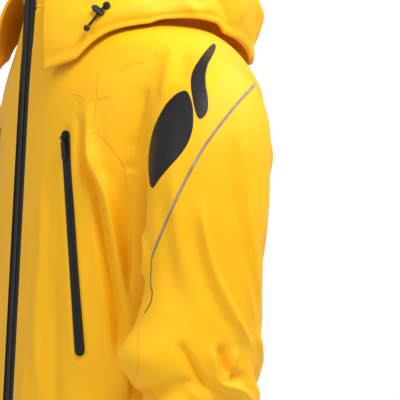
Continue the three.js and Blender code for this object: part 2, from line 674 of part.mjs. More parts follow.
function zipPull(size) {
  const { y, z } = pinAt(size);
  const half = size.eyeWidth / 2;
  const ring = size.pin + FIT + size.eye;
  const eye = rod(ring, -half, half, y, z, 16);
  const low = y - PULL_THICKNESS / 2;
  const neckEnd = z - ring - 3;
  const neck = box(-half, half, low, low + PULL_THICKNESS, neckEnd, z);
  const wide = size.pullWidth / 2;
  const plate = box(-wide, wide, low, low + PULL_THICKNESS, z - size.pull, neckEnd + 0.5);
  return cut(join(eye, neck, plate), rod(size.pin + FIT, -half - 1, half + 1, y, z, 16));
}

// Main zip: its frame starts at the collar's top on the centre front line.
const mainDown = new THREE.Vector3(0, -frontSlope, -1).normalize();
const mainLength = (collarTop - HEM_Z) / -mainDown.z;
const across = new THREE.Vector3(-1, 0, 0);
const mainOut = new THREE.Vector3().crossVectors(mainDown, across).normalize();
if (mainOut.y > 0) mainOut.negate();
const mainFrame = new THREE.Matrix4().makeBasis(across, mainOut, mainDown.clone().negate());
mainFrame.setPosition(0, -frontDepth(collarTop), collarTop);
const inMain = (geometry) => geometry.applyMatrix4(mainFrame);

const chainHalf = MAIN_ZIP.chainWidth / 2;
const tapeTop = -MAIN_ZIP.tapeDepth;
const tapeBox = (low, high) => box(low, high, tapeTop - MAIN_ZIP.tapeThickness, tapeTop,
  -mainLength + 1, -1);
add('main_zip_tape_left', inMain(tapeBox(-FRONT_OPENING + FIT + 0.2, -chainHalf - FIT)), DARK, 0.8);
add('main_zip_tape_right', inMain(tapeBox(chainHalf + FIT, FRONT_OPENING - FIT - 0.2)), DARK, 0.8);
add('main_zip_chain', inMain(box(-chainHalf, chainHalf, -MAIN_ZIP.chainThickness - FIT, -FIT,
  -mainLength + 1, -1)), DARK, 0.5);

const sliderInset = 3;              // slider's front end below the zip's top end
const flangeIn = chainHalf + FIT;
const flangeOut = SLIDER_LARGE.width / 2;
const flangeLow = tapeTop + FIT;
const flange = (side) => box(Math.min(side * flangeIn, side * flangeOut),
  Math.max(side * flangeIn, side * flangeOut), flangeLow, 0.5, -SLIDER_LARGE.length, 0);
const mainSlider = zipSlider(SLIDER_LARGE, flange(1), flange(-1)).translate(0, 0, -sliderInset);
add('main_zip_slider', inMain(mainSlider), DARK, 0.35, 0.6);
add('main_zip_pull', inMain(zipPull(SLIDER_LARGE).translate(0, 0, -sliderInset)), DARK, 0.6);

const flapTop = (collarTop - YOKE_Z + 4) / -mainDown.z;
const flapEnd = (collarTop - HEM_Z - HEM_BAND_HEIGHT - 2) / -mainDown.z;
const flapLow = -STORM_FLAP.depth - STORM_FLAP.thickness;
add('inner_storm_flap', inMain(box(-STORM_FLAP.halfWidth, STORM_FLAP.halfWidth, flapLow,
  -STORM_FLAP.depth, -flapEnd, -flapTop)), LINING_GREY, 0.85);
const facingIn = STORM_FLAP.halfWidth + FIT;
const facingTop = (collarTop - FACING.topZ) / -mainDown.z;
const facingEnd = (collarTop - SKIRT.top - 4) / -mainDown.z;
const facing = box(-facingIn - FACING.width, -facingIn, -FACING.depth - FACING.thickness,
  -FACING.depth, -facingEnd, -facingTop);
addPair('front_facing', inMain(facing), LINING_GREY, 0.9);
const guardTop = -MAIN_ZIP.chainThickness - 2 * FIT;
add('chin_guard', inMain(box(-CHIN_GUARD.halfWidth, CHIN_GUARD.halfWidth,
  guardTop - CHIN_GUARD.thickness, guardTop, -CHIN_GUARD.height, -1)), LINING_GREY, 0.95);

// Chest pocket zips: a straight welded tape in a straight slot of each front panel.
const inPocket = (geometry) => geometry.applyMatrix4(zipFrame);
addPair('pocket_zip', inPocket(strip(POCKET_ZIP.width, POCKET_ZIP.length,
  POCKET_ZIP.proud - POCKET_ZIP.depth, POCKET_ZIP.proud)), DARK, 0.55);
const pocketSliderAt = new THREE.Vector3(0, POCKET_ZIP.proud + FIT, -4);
const smallSlider = zipSlider(SLIDER_SMALL).translate(...pocketSliderAt);
addPair('pocket_slider', inPocket(smallSlider), DARK, 0.35, 0.6);
const smallPull = zipPull(SLIDER_SMALL).translate(...pocketSliderAt);
addPair('pocket_pull', inPocket(smallPull), DARK, 0.6);

const bagInner = (z) => frontTurnAt(facingIn + FACING.width + 5, z);
const bagOuter = (z) => frontTurnAt(POCKET_ZIP.bottomX, z) + 0.05;
const pocketBag = torsoPanel(bagInner, bagOuter,
  POCKET_ZIP.topZ + 6, POCKET_ZIP.topZ - POCKET_ZIP.length - 20, 4, 5, 1.6, SHELL_WALL + 2);
addPair('pocket_bag', pocketBag, LINING_GREY, 0.9);

// ---------------------------------------------------------------- hood drawcord ends
function hoodNormal(turn, v) {
  const step = 1e-3;
  const du = hoodPoint(turn + step, v).sub(hoodPoint(turn - step, v));
  const dv = hoodPoint(turn, v + step).sub(hoodPoint(turn, v - step));
  return dv.cross(du).normalize();
}

const CORD_EXIT = { turn: 0.355, v: 0.80 };
const CORD_AIM = { turn: 0.305, v: 0.91 };
const exitNormal = hoodNormal(CORD_EXIT.turn, CORD_EXIT.v);
const exitAt = hoodPoint(CORD_EXIT.turn, CORD_EXIT.v);
const cordStand = EYELET.height - EYELET.sunk + CORD_DIAMETER * 0.7 + FIT;
const cordStart = exitAt.clone().addScaledVector(exitNormal, cordStand);
const aimNormal = hoodNormal(CORD_AIM.turn, CORD_AIM.v);
const cordAim = hoodPoint(CORD_AIM.turn, CORD_AIM.v).addScaledVector(aimNormal, cordStand);
const cordWay = cordAim.clone().sub(cordStart).normalize();
const cordSide = new THREE.Vector3().crossVectors(cordWay, exitNormal).normalize();
const cordUp = new THREE.Vector3().crossVectors(cordSide, cordWay).normalize();
const cordFrame = new THREE.Matrix4().makeBasis(cordSide, cordUp, cordWay.clone().negate());
cordFrame.setPosition(cordStart);
const inCord = (geometry) => geometry.applyMatrix4(cordFrame);

// In the cord's frame the cord starts at z = 0 and runs to -Z; X is the lock's long axis.
const cordRadius = CORD_DIAMETER / 2;
const upright = (radius, zLow, zHigh, sides) => new THREE.CylinderGeometry(radius, radius,
  zHigh - zLow, sides).rotateX(Math.PI / 2).translate(0, 0, (zLow + zHigh) / 2);
const eyelet = new THREE.CylinderGeometry(EYELET.radius, EYELET.radius, EYELET.height, 12);
const eyeletAt = new THREE.Matrix4().makeBasis(cordSide, exitNormal,
  new THREE.Vector3().crossVectors(cordSide, exitNormal));
eyeletAt.setPosition(exitAt.clone().addScaledVector(exitNormal, EYELET.height / 2 - EYELET.sunk));
addPair('hood_cord_eyelet', eyelet.applyMatrix4(eyeletAt), DARK, 0.4);
addPair('hood_cord', inCord(upright(cordRadius, -CORD_LENGTH, 0, 8)), DARK, 0.8);

const ball = new THREE.SphereGeometry(CORD_END_RADIUS, 12, 8);
ball.translate(0, 0, -CORD_LENGTH - FIT - CORD_END_RADIUS);
addPair('hood_cord_end', inCord(ball), DARK, 0.4);

const lockZ = -12;
const lockLow = -LOCK.length + LOCK.pocket + LOCK.bore + 0.9;
const lockHigh = lockLow + LOCK.length;
const lockBody = cut(rod(LOCK.radius, lockLow, lockHigh, 0, lockZ, 16),
  upright(LOCK.bore, lockZ - 20, lockZ + 20, 12),
  rod(LOCK.mouth, lockHigh - LOCK.pocket, lockHigh + 5, 0, lockZ, 16));
addPair('hood_cord_lock', inCord(lockBody), DARK, 0.35);
const buttonLow = lockHigh - LOCK.stands;
const button = rod(LOCK.button, buttonLow, lockHigh + LOCK.stands, 0, lockZ, 16);
addPair('hood_lock_button', inCord(button), DARK, 0.35);

// ---------------------------------------------------------------- powder skirt snaps
function skirtPoint(turn, z) {
  const v = (SKIRT.top - 1 - z) / (SKIRT.top - 1 - SKIRT.bottom);
  const at = torsoPoint(turn, z);
  const shrink = 1 - (LINING_INSET + SKIRT.gather * v) / 180;
  return new THREE.Vector3(at.x * shrink, at.y * shrink, z);
}

function snapDisc() {
  const turn = 0.085;
  const z = (SKIRT.top + SKIRT.bottom) / 2;
  const at = skirtPoint(turn, z);
  const ahead = skirtPoint(turn + 0.01, z).sub(skirtPoint(turn - 0.01, z));
  const down = skirtPoint(turn, z - 5).sub(skirtPoint(turn, z + 5));
  const out = down.cross(ahead).normalize();
  const disc = new THREE.CylinderGeometry(SNAP.radius, SNAP.radius, SNAP.thickness, 16);
  const upward = new THREE.Vector3(0, 1, 0);
  disc.applyQuaternion(new THREE.Quaternion().setFromUnitVectors(upward, out));
  at.addScaledVector(out, SNAP.thickness / 2 - SNAP.sunk);
  return disc.translate(at.x, at.y, at.z);
}
const snap = snapDisc();
add('skirt_snap_stud', snap, DARK, 0.3, 0.8);
add('skirt_snap_socket', mirrored(snap), DARK, 0.3, 0.8);

export default group;
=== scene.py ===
# Insulated ski jacket, worn with the hood down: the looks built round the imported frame.
# Metres, +Z up, the front faces -Y and the wearer's left side is +X.
import json
import math
import bmesh
import bpy
import numpy as np
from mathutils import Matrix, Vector, noise
from mathutils.bvhtree import BVHTree

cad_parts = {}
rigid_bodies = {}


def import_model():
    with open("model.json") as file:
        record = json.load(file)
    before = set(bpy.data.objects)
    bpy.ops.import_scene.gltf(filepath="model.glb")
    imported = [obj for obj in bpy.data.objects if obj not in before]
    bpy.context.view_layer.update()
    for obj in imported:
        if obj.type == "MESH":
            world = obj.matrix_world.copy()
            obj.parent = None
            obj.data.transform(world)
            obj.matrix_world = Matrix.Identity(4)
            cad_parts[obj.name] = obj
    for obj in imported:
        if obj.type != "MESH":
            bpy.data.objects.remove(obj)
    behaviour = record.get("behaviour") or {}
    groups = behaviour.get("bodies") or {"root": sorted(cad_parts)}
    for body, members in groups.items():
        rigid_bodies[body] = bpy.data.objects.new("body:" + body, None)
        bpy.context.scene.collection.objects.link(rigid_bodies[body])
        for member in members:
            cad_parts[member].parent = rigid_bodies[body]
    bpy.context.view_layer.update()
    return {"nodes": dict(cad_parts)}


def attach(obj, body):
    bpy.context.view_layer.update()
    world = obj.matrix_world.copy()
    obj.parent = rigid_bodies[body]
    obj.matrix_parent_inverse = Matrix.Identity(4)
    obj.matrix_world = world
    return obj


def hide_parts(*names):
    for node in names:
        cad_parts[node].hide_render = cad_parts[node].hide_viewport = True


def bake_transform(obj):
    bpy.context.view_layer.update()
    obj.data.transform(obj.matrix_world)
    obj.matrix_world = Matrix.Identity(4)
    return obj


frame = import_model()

MM = 0.001
NODES = frame["nodes"]

# ---------------------------------------------------------------- named sizes (millimetres)
NECK_Z = -4
HEM_Z = -720
BAND_Z = -690                 # seam between the panels and the hem band
ARMHOLE_X = 209.8             # armhole seam
ARM_X = 211.9                 # the sleeve is wholly the arm's from here outwards
SLEEVE_SPLIT_Z = -330         # joins the two halves of the sleeve
WRIST_Z = -640
OPENING = 17.5                # half width between the front panels
FRONT_AT_NECK = 116
FRONT_SLOPE = 42 / 720
COLLAR_TOP = 72.3
VOXEL = 4.6

# [z, half width, back depth, front roundness, back roundness]
TORSO = [
    [-4, 80, 80, 2, 2], [-20, 126, 98, 1.7, 2], [-38, 180, 113, 1.55, 2.1],
    [-54, 208.2, 124, 1.55, 2.3], [-76, 219, 135, 1.7, 2.7], [-112, 222, 148, 2.05, 3.1],
    [-180, 220, 150, 2.28, 3.1], [-246, 205, 150, 2.4, 2.7], [-306, 203.5, 145, 2.4, 2.5],
    [-440, 202, 138, 2.4, 2.4], [-580, 207, 148, 2.4, 2.4], [-720, 212, 158, 2.3, 2.3]]

# [t, inner x, inner z, outer x, outer z, centre y, half depth]
SLEEVE = [
    [0, 211.9, -231.5, 211.9, -53.5, 18, 68], [.1, 212.9, -249, 256, -70, 17, 76],
    [.2, 213.9, -254, 298, -105, 11, 77], [.3, 213.9, -260, 327, -160, 3, 75],
    [.4, 214.9, -268, 337, -235, -1, 74], [.5, 214.9, -325, 338, -320, -5, 70],
    [.6, 215.9, -375, 338, -372, -12, 76], [.66, 215.9, -412, 338, -411, -24, 85],
    [.72, 216.9, -462, 336, -462, -12, 74], [.82, 221.9, -535, 334, -535, -32, 67],
    [.92, 228.9, -600, 331, -600, -60, 60], [1, 233.9, -640, 328, -640, -78, 54]]

# [turn, level of the fold's top, level of the hanging lower edge]
HOOD = [[.16, 8, -82], [.30, 16, -62], [.42, 18, -36], [.50, 19, -20], [.62, 40, -24],
        [.66, 45, -43], [.70, 50, -57], [.76, 53, -65], [.82, 56, -69], [1, 60, -76]]
HOOD_WALL = 5

# ---------------------------------------------------------------- colours (linear)
YELLOW = (0.93, 0.475, 0.006, 1)
# deeper, more orange yellow of the welded and elbow seams: painted shade of a narrow groove
YELLOW_GROOVE_SHADE = (0.78, 0.34, 0.003, 1)
BLACK = (0.020, 0.018, 0.021, 1)
LINING = (0.045, 0.048, 0.055, 1)
PIPING_GREY = (0.33, 0.26, 0.19, 1)


# ---------------------------------------------------------------- camera, light and floor
VIEW_AZIMUTH = math.radians(65)
VIEW_RISE = math.radians(2.5)
RIGHT = Vector((math.cos(VIEW_AZIMUTH), math.sin(VIEW_AZIMUTH), 0))
TOWARDS = Vector((math.sin(VIEW_AZIMUTH) * math.cos(VIEW_RISE),
                  -math.cos(VIEW_AZIMUTH) * math.cos(VIEW_RISE), math.sin(VIEW_RISE)))


CAMERA_AIM = Vector((0.2707, -0.0086, -0.232))
CAMERA_DISTANCE = 3.0
CAMERA_LENS = 233
FLOOR_Z = -1.15
SKY_LIGHT = 0.44


def make_camera():
    data = bpy.data.cameras.new("camera")
    data.lens = CAMERA_LENS
    data.sensor_width = 36
    data.clip_end = 30
    camera = bpy.data.objects.new("camera", data)
    camera.location = CAMERA_AIM + TOWARDS * CAMERA_DISTANCE
    camera.rotation_euler = (camera.location - CAMERA_AIM).to_track_quat("Z", "Y").to_euler()
    bpy.context.collection.objects.link(camera)
    bpy.context.scene.camera = camera


def area_light(name, at, aim, size, power, colour=(1, 1, 1)):
    data = bpy.data.lights.new(name, "AREA")
    data.shape = "SQUARE"
    data.size = size
    data.energy = power
    data.color = colour
    light = bpy.data.objects.new(name, data)
    light.location = at
    light.rotation_euler = (Vector(at) - Vector(aim)).to_track_quat("Z", "Y").to_euler()
    bpy.context.collection.objects.link(light)


def make_world():
    world = bpy.data.worlds.new("studio")
    bpy.context.scene.world = world
    world.use_nodes = True
    tree = world.node_tree
    sky = tree.nodes["Background"]
    sky.inputs["Color"].default_value = (1, 1, 1, 1)
    sky.inputs["Strength"].default_value = SKY_LIGHT
    white = tree.nodes.new("ShaderNodeBackground")
    white.inputs["Color"].default_value = (1, 1, 1, 1)
    white.inputs["Strength"].default_value = 1.0
    path = tree.nodes.new("ShaderNodeLightPath")
    mix = tree.nodes.new("ShaderNodeMixShader")
    tree.links.new(path.outputs["Is Camera Ray"], mix.inputs[0])
    tree.links.new(sky.outputs[0], mix.inputs[1])
    tree.links.new(white.outputs[0], mix.inputs[2])
    tree.links.new(mix.outputs[0], tree.nodes["World Output"].inputs["Surface"])
    scene = bpy.context.scene
    scene.view_settings.view_transform = "Standard"
    scene.view_settings.look = "None"
    centre = Vector((0.15, 0, -0.25))
    key = centre + RIGHT * 0.7 + TOWARDS * 1.2 + Vector((0, 0, 1.8))
    area_light("key", key, centre, 0.9, 47)
    rim = centre + RIGHT * 1.2 - TOWARDS * 0.5 + Vector((0, 0, 1.6))
    area_light("rim", rim, centre, 0.9, 24)
    fill = centre - RIGHT * 1.5 + TOWARDS * 1.3 + Vector((0, 0, 1.0))
    area_light("fill", fill, centre, 1.2, 13)


def make_floor():
    bpy.ops.mesh.primitive_plane_add(size=8, location=(0, 0, FLOOR_Z))
    floor = bpy.context.object
    floor.name = "studio_floor"
    material = bpy.data.materials.new("studio_floor")
    material.use_nodes = True
    shader = material.node_tree.nodes["Principled BSDF"]
    shader.inputs["Base Color"].default_value = (0.86, 0.86, 0.86, 1)
    shader.inputs["Roughness"].default_value = 0.9
    floor.data.materials.append(material)


# ---------------------------------------------------------------- materials
def new_material(name, colour, rough, **sockets):
    material = bpy.data.materials.new(name)
    material.use_nodes = True
    shader = material.node_tree.nodes["Principled BSDF"]
    shader.inputs["Base Color"].default_value = colour
    shader.inputs["Roughness"].default_value = rough
    for socket, value in sockets.items():
        shader.inputs[socket.replace("_", " ")].default_value = value
    return material


def add_node(tree, kind, **settings):
    node = tree.nodes.new(kind)
    for key, value in settings.items():
        if hasattr(node, key):
            setattr(node, key, value)
        else:
            node.inputs[key].default_value = value
    return node


def weave(material, thread, depth, distance=0.0004):
    """Woven threads of the given pitch in metres, as a bump in all three directions."""
    tree = material.node_tree
    place = add_node(tree, "ShaderNodeTexCoord")
    total = None
    for axis in "XYZ":
        wave = add_node(tree, "ShaderNodeTexWave", wave_type="BANDS", bands_direction=axis,
                        Scale=math.pi / 10 / thread, Distortion=0.6)
        wave.inputs["Detail"].default_value = 1
        tree.links.new(place.outputs["Object"], wave.inputs["Vector"])
        if total is None:
            total = wave.outputs["Fac"]
        else:
            add = add_node(tree, "ShaderNodeMath", operation="ADD")
            tree.links.new(total, add.inputs[0])
            tree.links.new(wave.outputs["Fac"], add.inputs[1])
            total = add.outputs[0]
    crumple = add_node(tree, "ShaderNodeTexNoise", Scale=55.0, Detail=6.0, Roughness=0.6)
    tree.links.new(place.outputs["Object"], crumple.inputs["Vector"])
    soft = add_node(tree, "ShaderNodeMath", operation="MULTIPLY_ADD")
    soft.inputs[1].default_value = 3.0
    tree.links.new(crumple.outputs["Fac"], soft.inputs[0])
    tree.links.new(total, soft.inputs[2])
    bump = add_node(tree, "ShaderNodeBump", Strength=depth, Distance=distance)
    tree.links.new(soft.outputs[0], bump.inputs["Height"])
    tree.links.new(bump.outputs[0], tree.nodes["Principled BSDF"].inputs["Normal"])
    return place


def mottle(material, place, light, dark, scale, low=0.35, high=0.65):
    """Slow change between two colours over the surface."""
    tree = material.node_tree
    patches = add_node(tree, "ShaderNodeTexNoise", Scale=scale, Detail=4.0, Roughness=0.55)
    tree.links.new(place.outputs["Object"], patches.inputs["Vector"])
    ramp = add_node(tree, "ShaderNodeValToRGB")
    ramp.color_ramp.elements[0].position = low
    ramp.color_ramp.elements[0].color = dark
    ramp.color_ramp.elements[1].position = high
    ramp.color_ramp.elements[1].color = light
    tree.links.new(patches.outputs["Fac"], ramp.inputs[0])
    tree.links.new(ramp.outputs[0], material.node_tree.nodes["Principled BSDF"].inputs["Base Color"])


def make_materials():
    shell = new_material("shell_cloth", YELLOW, 0.50, Sheen_Weight=0.06, Sheen_Roughness=0.4,
                         Specular_IOR_Level=0.2)
    shell.node_tree.nodes["Principled BSDF"].inputs["Sheen Tint"].default_value = (1, 0.85, 0.3, 1)
    place = weave(shell, 0.0007, 0.16)
    mottle(shell, place, YELLOW, tuple(0.975 * c for c in YELLOW[:3]) + (1,), 9.0)
    # material of the seam strips: darker yellow painted as the shade of a groove
    seam = new_material("seam_painted_groove_shade", YELLOW_GROOVE_SHADE, 0.75)
    weave(seam, 0.0007, 0.2)
    thread = new_material("stitch_thread", (0.93, 0.60, 0.05, 1), 0.5)
    weave(thread, 0.0004, 0.5)
    printed = new_material("print_film", BLACK, 0.5, Specular_IOR_Level=0.3)
    place = weave(printed, 0.0007, 0.10)
    mottle(printed, place, (0.012, 0.010, 0.012, 1), (0.006, 0.005, 0.006, 1), 14.0)
    tape = new_material("zip_cloth", (0.008, 0.007, 0.008, 1), 0.55, Specular_IOR_Level=0.3)
    weave(tape, 0.0009, 0.35)
    plastic = new_material("moulded_plastic", (0.009, 0.0085, 0.0095, 1), 0.35)
    weave(plastic, 0.0022, 0.05)
    metal = new_material("lacquered_metal", (0.03, 0.029, 0.032, 1), 0.28, Metallic=0.7)
    weave(metal, 0.003, 0.04)
    piping = new_material("piping_tape", PIPING_GREY, 0.38, Metallic=0.35, Sheen_Weight=0.3)
    place = weave(piping, 0.0005, 0.5)
    mottle(piping, place, (0.40, 0.32, 0.24, 1), (0.25, 0.19, 0.14, 1), 60.0)
    # darker copy of the piping material: painted shade for the piping's tail, which lies in a fold's shadow
    shade = new_material("piping_painted_shade", (0.07, 0.055, 0.04, 1), 0.5, Metallic=0.2)
    weave(shade, 0.0005, 0.5)
    lining = new_material("lining_cloth", LINING, 0.85, Sheen_Weight=0.3)
    place = weave(lining, 0.0012, 0.5)
    mottle(lining, place, (0.055, 0.058, 0.066, 1), (0.036, 0.039, 0.045, 1), 20.0)
    return {"shell": shell, "seam": seam, "thread": thread, "print": printed, "tape": tape,
            "plastic": plastic, "metal": metal, "piping": piping, "piping_painted_shade": shade,
            "lining": lining}


# ---------------------------------------------------------------- mesh helpers
def mesh_object(name, verts, faces, material):
    mesh = bpy.data.meshes.new(name)
    mesh.from_pydata([tuple(v) for v in verts], [], [tuple(int(i) for i in f) for f in faces])
    mesh.update()
    obj = bpy.data.objects.new(name, mesh)
    bpy.context.collection.objects.link(obj)
    if material is not None:
        mesh.materials.append(material)
    return smoothed(obj)


def grid_faces(columns, rows, ring=False):
    """Quads of a grid whose points run row by row; a ring closes its columns."""
    wide = columns if ring else columns + 1
    faces = []
    for j in range(rows):
        for i in range(columns):
            k = (i + 1) % wide
            faces.append((j * wide + i, (j + 1) * wide + i, (j + 1) * wide + k, j * wide + k))
    return faces


def from_bmesh(bm, name, material):
    mesh = bpy.data.meshes.new(name)
    bm.to_mesh(mesh)
    bm.free()
    mesh.materials.append(material)
    obj = bpy.data.objects.new(name, mesh)
    bpy.context.collection.objects.link(obj)
    return obj


def smoothed(obj):
    obj.data.polygons.foreach_set("use_smooth", [True] * len(obj.data.polygons))
    return obj


def unit(rows):
    return rows / np.linalg.norm(rows, axis=1)[:, None]


def verts_of(mesh):
    co = np.empty(len(mesh.vertices) * 3)
    mesh.vertices.foreach_get("co", co)
    return co.reshape(-1, 3)


def set_verts(mesh, co):
    mesh.vertices.foreach_set("co", co.ravel())
    mesh.update()


def normals_of(mesh):
    no = np.empty(len(mesh.vertices) * 3)
    mesh.vertex_normals.foreach_get("vector", no)
    return no.reshape(-1, 3)


def applied(obj):
    """The object's mesh with its modifiers applied."""
    depsgraph = bpy.context.evaluated_depsgraph_get()
    mesh = bpy.data.meshes.new_from_object(obj.evaluated_get(depsgraph))
    old = obj.data
    obj.modifiers.clear()
    obj.data = mesh
    bpy.data.meshes.remove(old)
    return smoothed(obj)


def modifier(obj, kind, **settings):
    made = obj.modifiers.new(kind.lower(), kind)
    for key, value in settings.items():
        setattr(made, key, value)
    return made


def smoothstep(low, high, value):
    t = np.clip((value - low) / (high - low), 0, 1)
    return t * t * (3 - 2 * t)


def curve(table, keys):
    """Smooth curve through stations [key, value, ...]: a row of values for each key."""
    rows = np.array(table, float)
    if rows[0, 0] > rows[-1, 0]:
        rows = rows[::-1]
    x, y = rows[:, 0], rows[:, 1:]
    index = np.arange(len(x))
    after = np.minimum(index + 1, len(x) - 1)
    before = np.maximum(index - 1, 0)
    slope = (y[after] - y[before]) / (x[after] - x[before])[:, None]
    keys = np.atleast_1d(np.asarray(keys, float))
    i = np.clip(np.searchsorted(x, keys, side="right") - 1, 0, len(x) - 2)
    span = (x[i + 1] - x[i])[:, None]
    t = np.clip((keys - x[i])[:, None] / span, 0, 1)
    return ((2 * t**3 - 3 * t**2 + 1) * y[i] + (t**3 - 2 * t**2 + t) * slope[i] * span
            + (3 * t**2 - 2 * t**3) * y[i + 1] + (t**3 - t**2) * slope[i + 1] * span)


def signed_power(value, power):
    return np.sign(value) * np.abs(value) ** (2 / power)


def front_depth(z):
    return FRONT_AT_NECK - FRONT_SLOPE * z


def torso_points(turn, z):
    """Turn 0 is centre front, 0.5 the wearer's left and 1 centre back. Millimetres."""
    turn, z = np.broadcast_arrays(np.asarray(turn, float), np.asarray(z, float))
    wide, back, front_power, back_power = curve(TORSO, z).T
    across, ahead = np.sin(turn * math.pi), -np.cos(turn * math.pi)
    power = np.where(ahead < 0, front_power, back_power)
    depth = np.where(ahead < 0, front_depth(z), back)
    return np.stack([wide * signed_power(across, power), depth * signed_power(ahead, power), z], -1)


def sleeve_points(turn, t):
    """Turn 0 is the outer side, 0.25 the back, 0.5 the inner side and 0.75 the front."""
    turn, t = np.broadcast_arrays(np.asarray(turn, float), np.asarray(t, float))
    v = curve(SLEEVE, t)
    inner = np.stack([v[:, 0], v[:, 4], v[:, 1]], -1)
    outer = np.stack([v[:, 2], v[:, 4], v[:, 3]], -1)
    angle = turn * 2 * math.pi
    side = np.stack([0 * angle, v[:, 5] * np.sin(angle), 0 * angle], -1)
    return (inner + outer) / 2 + (outer - inner) / 2 * np.cos(angle)[:, None] + side


def front_turn(x, z):
    """Turn at which the torso surface reaches x on the front."""
    v = curve(TORSO, z)
    return np.arcsin((x / v[:, 0]) ** (v[:, 2] / 2)) / math.pi


def rows_of(point, columns, rows, ring=False):
    """Points of a surface given as point(u array, v) for v from 0 to 1, row by row."""
    u = np.arange(columns if ring else columns + 1) / columns
    return np.concatenate([point(u, j / rows) for j in range(rows + 1)])


# ---------------------------------------------------------------- the one-piece skin
def closed_tube(rings):
    """Closed solid of rings with the same number of points, capped by a fan at each end."""
    count = len(rings[0])
    verts = np.concatenate(rings)
    faces = grid_faces(count, len(rings) - 1, ring=True)
    first, last = len(verts), len(verts) + 1
    verts = np.concatenate([verts, [rings[0].mean(0)], [rings[-1].mean(0)]])
    for i in range(count):
        k = (i + 1) % count
        faces.append((first, i, k))
        base = (len(rings) - 1) * count
        faces.append((last, base + k, base + i))
    return verts, faces


def relax(co, edges, weight, rounds):
    """Moves each point towards its neighbours' mean, by its weight."""
    count = np.bincount(edges.ravel(), minlength=len(co))[:, None]
    for _ in range(rounds):
        total = np.zeros_like(co)
        for axis in range(3):
            total[:, axis] = (np.bincount(edges[:, 0], co[edges[:, 1], axis], len(co))
                              + np.bincount(edges[:, 1], co[edges[:, 0], axis], len(co)))
        co = co + (total / count - co) * weight[:, None]
    return co


def edges_of(mesh):
    flat = np.empty(len(mesh.edges) * 2, int)
    mesh.edges.foreach_get("vertices", flat)
    return flat.reshape(-1, 2)


def left_half_skin():
    """Torso and left sleeve as one smooth skin, of the wearer's left half only."""
    turns = np.arange(180) / 90
    levels = np.concatenate([[-1, -8, -14], np.linspace(-20, HEM_Z - 4, 140)])
    torso = closed_tube([torso_points(turns, np.full(180, z)) for z in levels])
    around = np.arange(72) / 72
    start = sleeve_points(around, np.zeros(72))
    centre = start.mean(0)
    inside = centre + (start - centre) * 0.86 - np.array([34, 0, 0])
    rings = [inside] + [sleeve_points(around, np.full(72, t)) for t in np.linspace(0, 1, 120)]
    end = rings[-1] + np.array([0, -3, -8])
    sleeve = closed_tube(rings + [end])
    verts = np.concatenate([torso[0], sleeve[0]]) * MM
    faces = torso[1] + [tuple(i + len(torso[0]) for i in f) for f in sleeve[1]]
    skin = mesh_object("skin", verts, faces, None)
    modifier(skin, "REMESH", mode="VOXEL", voxel_size=VOXEL * MM)
    applied(skin)
    co = verts_of(skin.data)
    edges = edges_of(skin.data)
    near = (smoothstep(0.150, 0.200, co[:, 0]) * (1 - smoothstep(0.225, 0.27, co[:, 0]))
            * smoothstep(-0.27, -0.22, co[:, 2]))
    co = relax(co, edges, 0.35 * np.ones(len(co)), 4)
    co = relax(co, edges, 0.9 * near, 26)
    set_verts(skin.data, co)
    cut_plane(skin, (0, 0, 0), (1, 0, 0), keep_above=True)
    modifier(skin, "SUBSURF", levels=1, render_levels=1)
    return applied(skin)


# Where a cut through the skin stops, so that it stays on its own side; in metres.
SLEEVE_SIDE = 0.2125
WRIST_SIDE = 0.215
HEM_SIDE = -0.65
NECK_SIDE = -0.05
FRONT_SIDE = -0.03


def cut_plane(obj, at, normal, keep_above=False, only=None):
    """Cuts the mesh along a plane, and drops a side of it where that is asked."""
    bm = bmesh.new()
    bm.from_mesh(obj.data)
    faces = [f for f in bm.faces if only is None or only(f.calc_center_median())]
    parts = list({e for f in faces for e in f.edges}) + list({v for f in faces for v in f.verts})
    bmesh.ops.bisect_plane(bm, geom=faces + parts, plane_co=at, plane_no=normal, dist=1e-6,
                           clear_inner=keep_above, clear_outer=False)
    bm.to_mesh(obj.data)
    bm.free()
    obj.data.update()


# ---------------------------------------------------------------- folds
def plane_point(tree, direction, a, z):
    """Point of the skin seen from a direction, a along the plane to its right."""
    across = Vector((-direction.y, direction.x, 0))
    origin = across * a * MM + Vector((0, 0, z * MM)) + direction * 1.0
    return tree.ray_cast(origin, -direction)[0]


TOWARDS_FLAT = Vector((TOWARDS.x, TOWARDS.y, 0)).normalized()
FROM = {"side": TOWARDS_FLAT, "front": Vector((0, -1, 0)), "back": Vector((0, 1, 0)),
        "arm": Vector((1, 0, 0))}


def smooth_route(points, step=3.0):
    """Catmull-Rom line through the points, with a point about every step millimetres."""
    p = [np.array(q, float) for q in points]
    p = [2 * p[0] - p[1]] + p + [2 * p[-1] - p[-2]]
    out = []
    for i in range(1, len(p) - 2):
        count = max(2, int(np.linalg.norm(p[i + 1] - p[i]) / step))
        for k in range(count):
            t = k / count
            out.append(0.5 * (2 * p[i] + (p[i + 1] - p[i - 1]) * t
                              + (2 * p[i - 1] - 5 * p[i] + 4 * p[i + 1] - p[i + 2]) * t * t
                              + (3 * p[i] - p[i - 1] - 3 * p[i + 1] + p[i + 2]) * t ** 3))
    out.append(p[-2])
    return np.array(out)


def on_skin(tree, view, points, step=3.0):
    """The route's points dropped onto the skin along the view's direction."""
    hits = [plane_point(tree, FROM[view], a, z) for a, z in smooth_route(points, step)]
    return np.array([h for h in hits if h is not None])


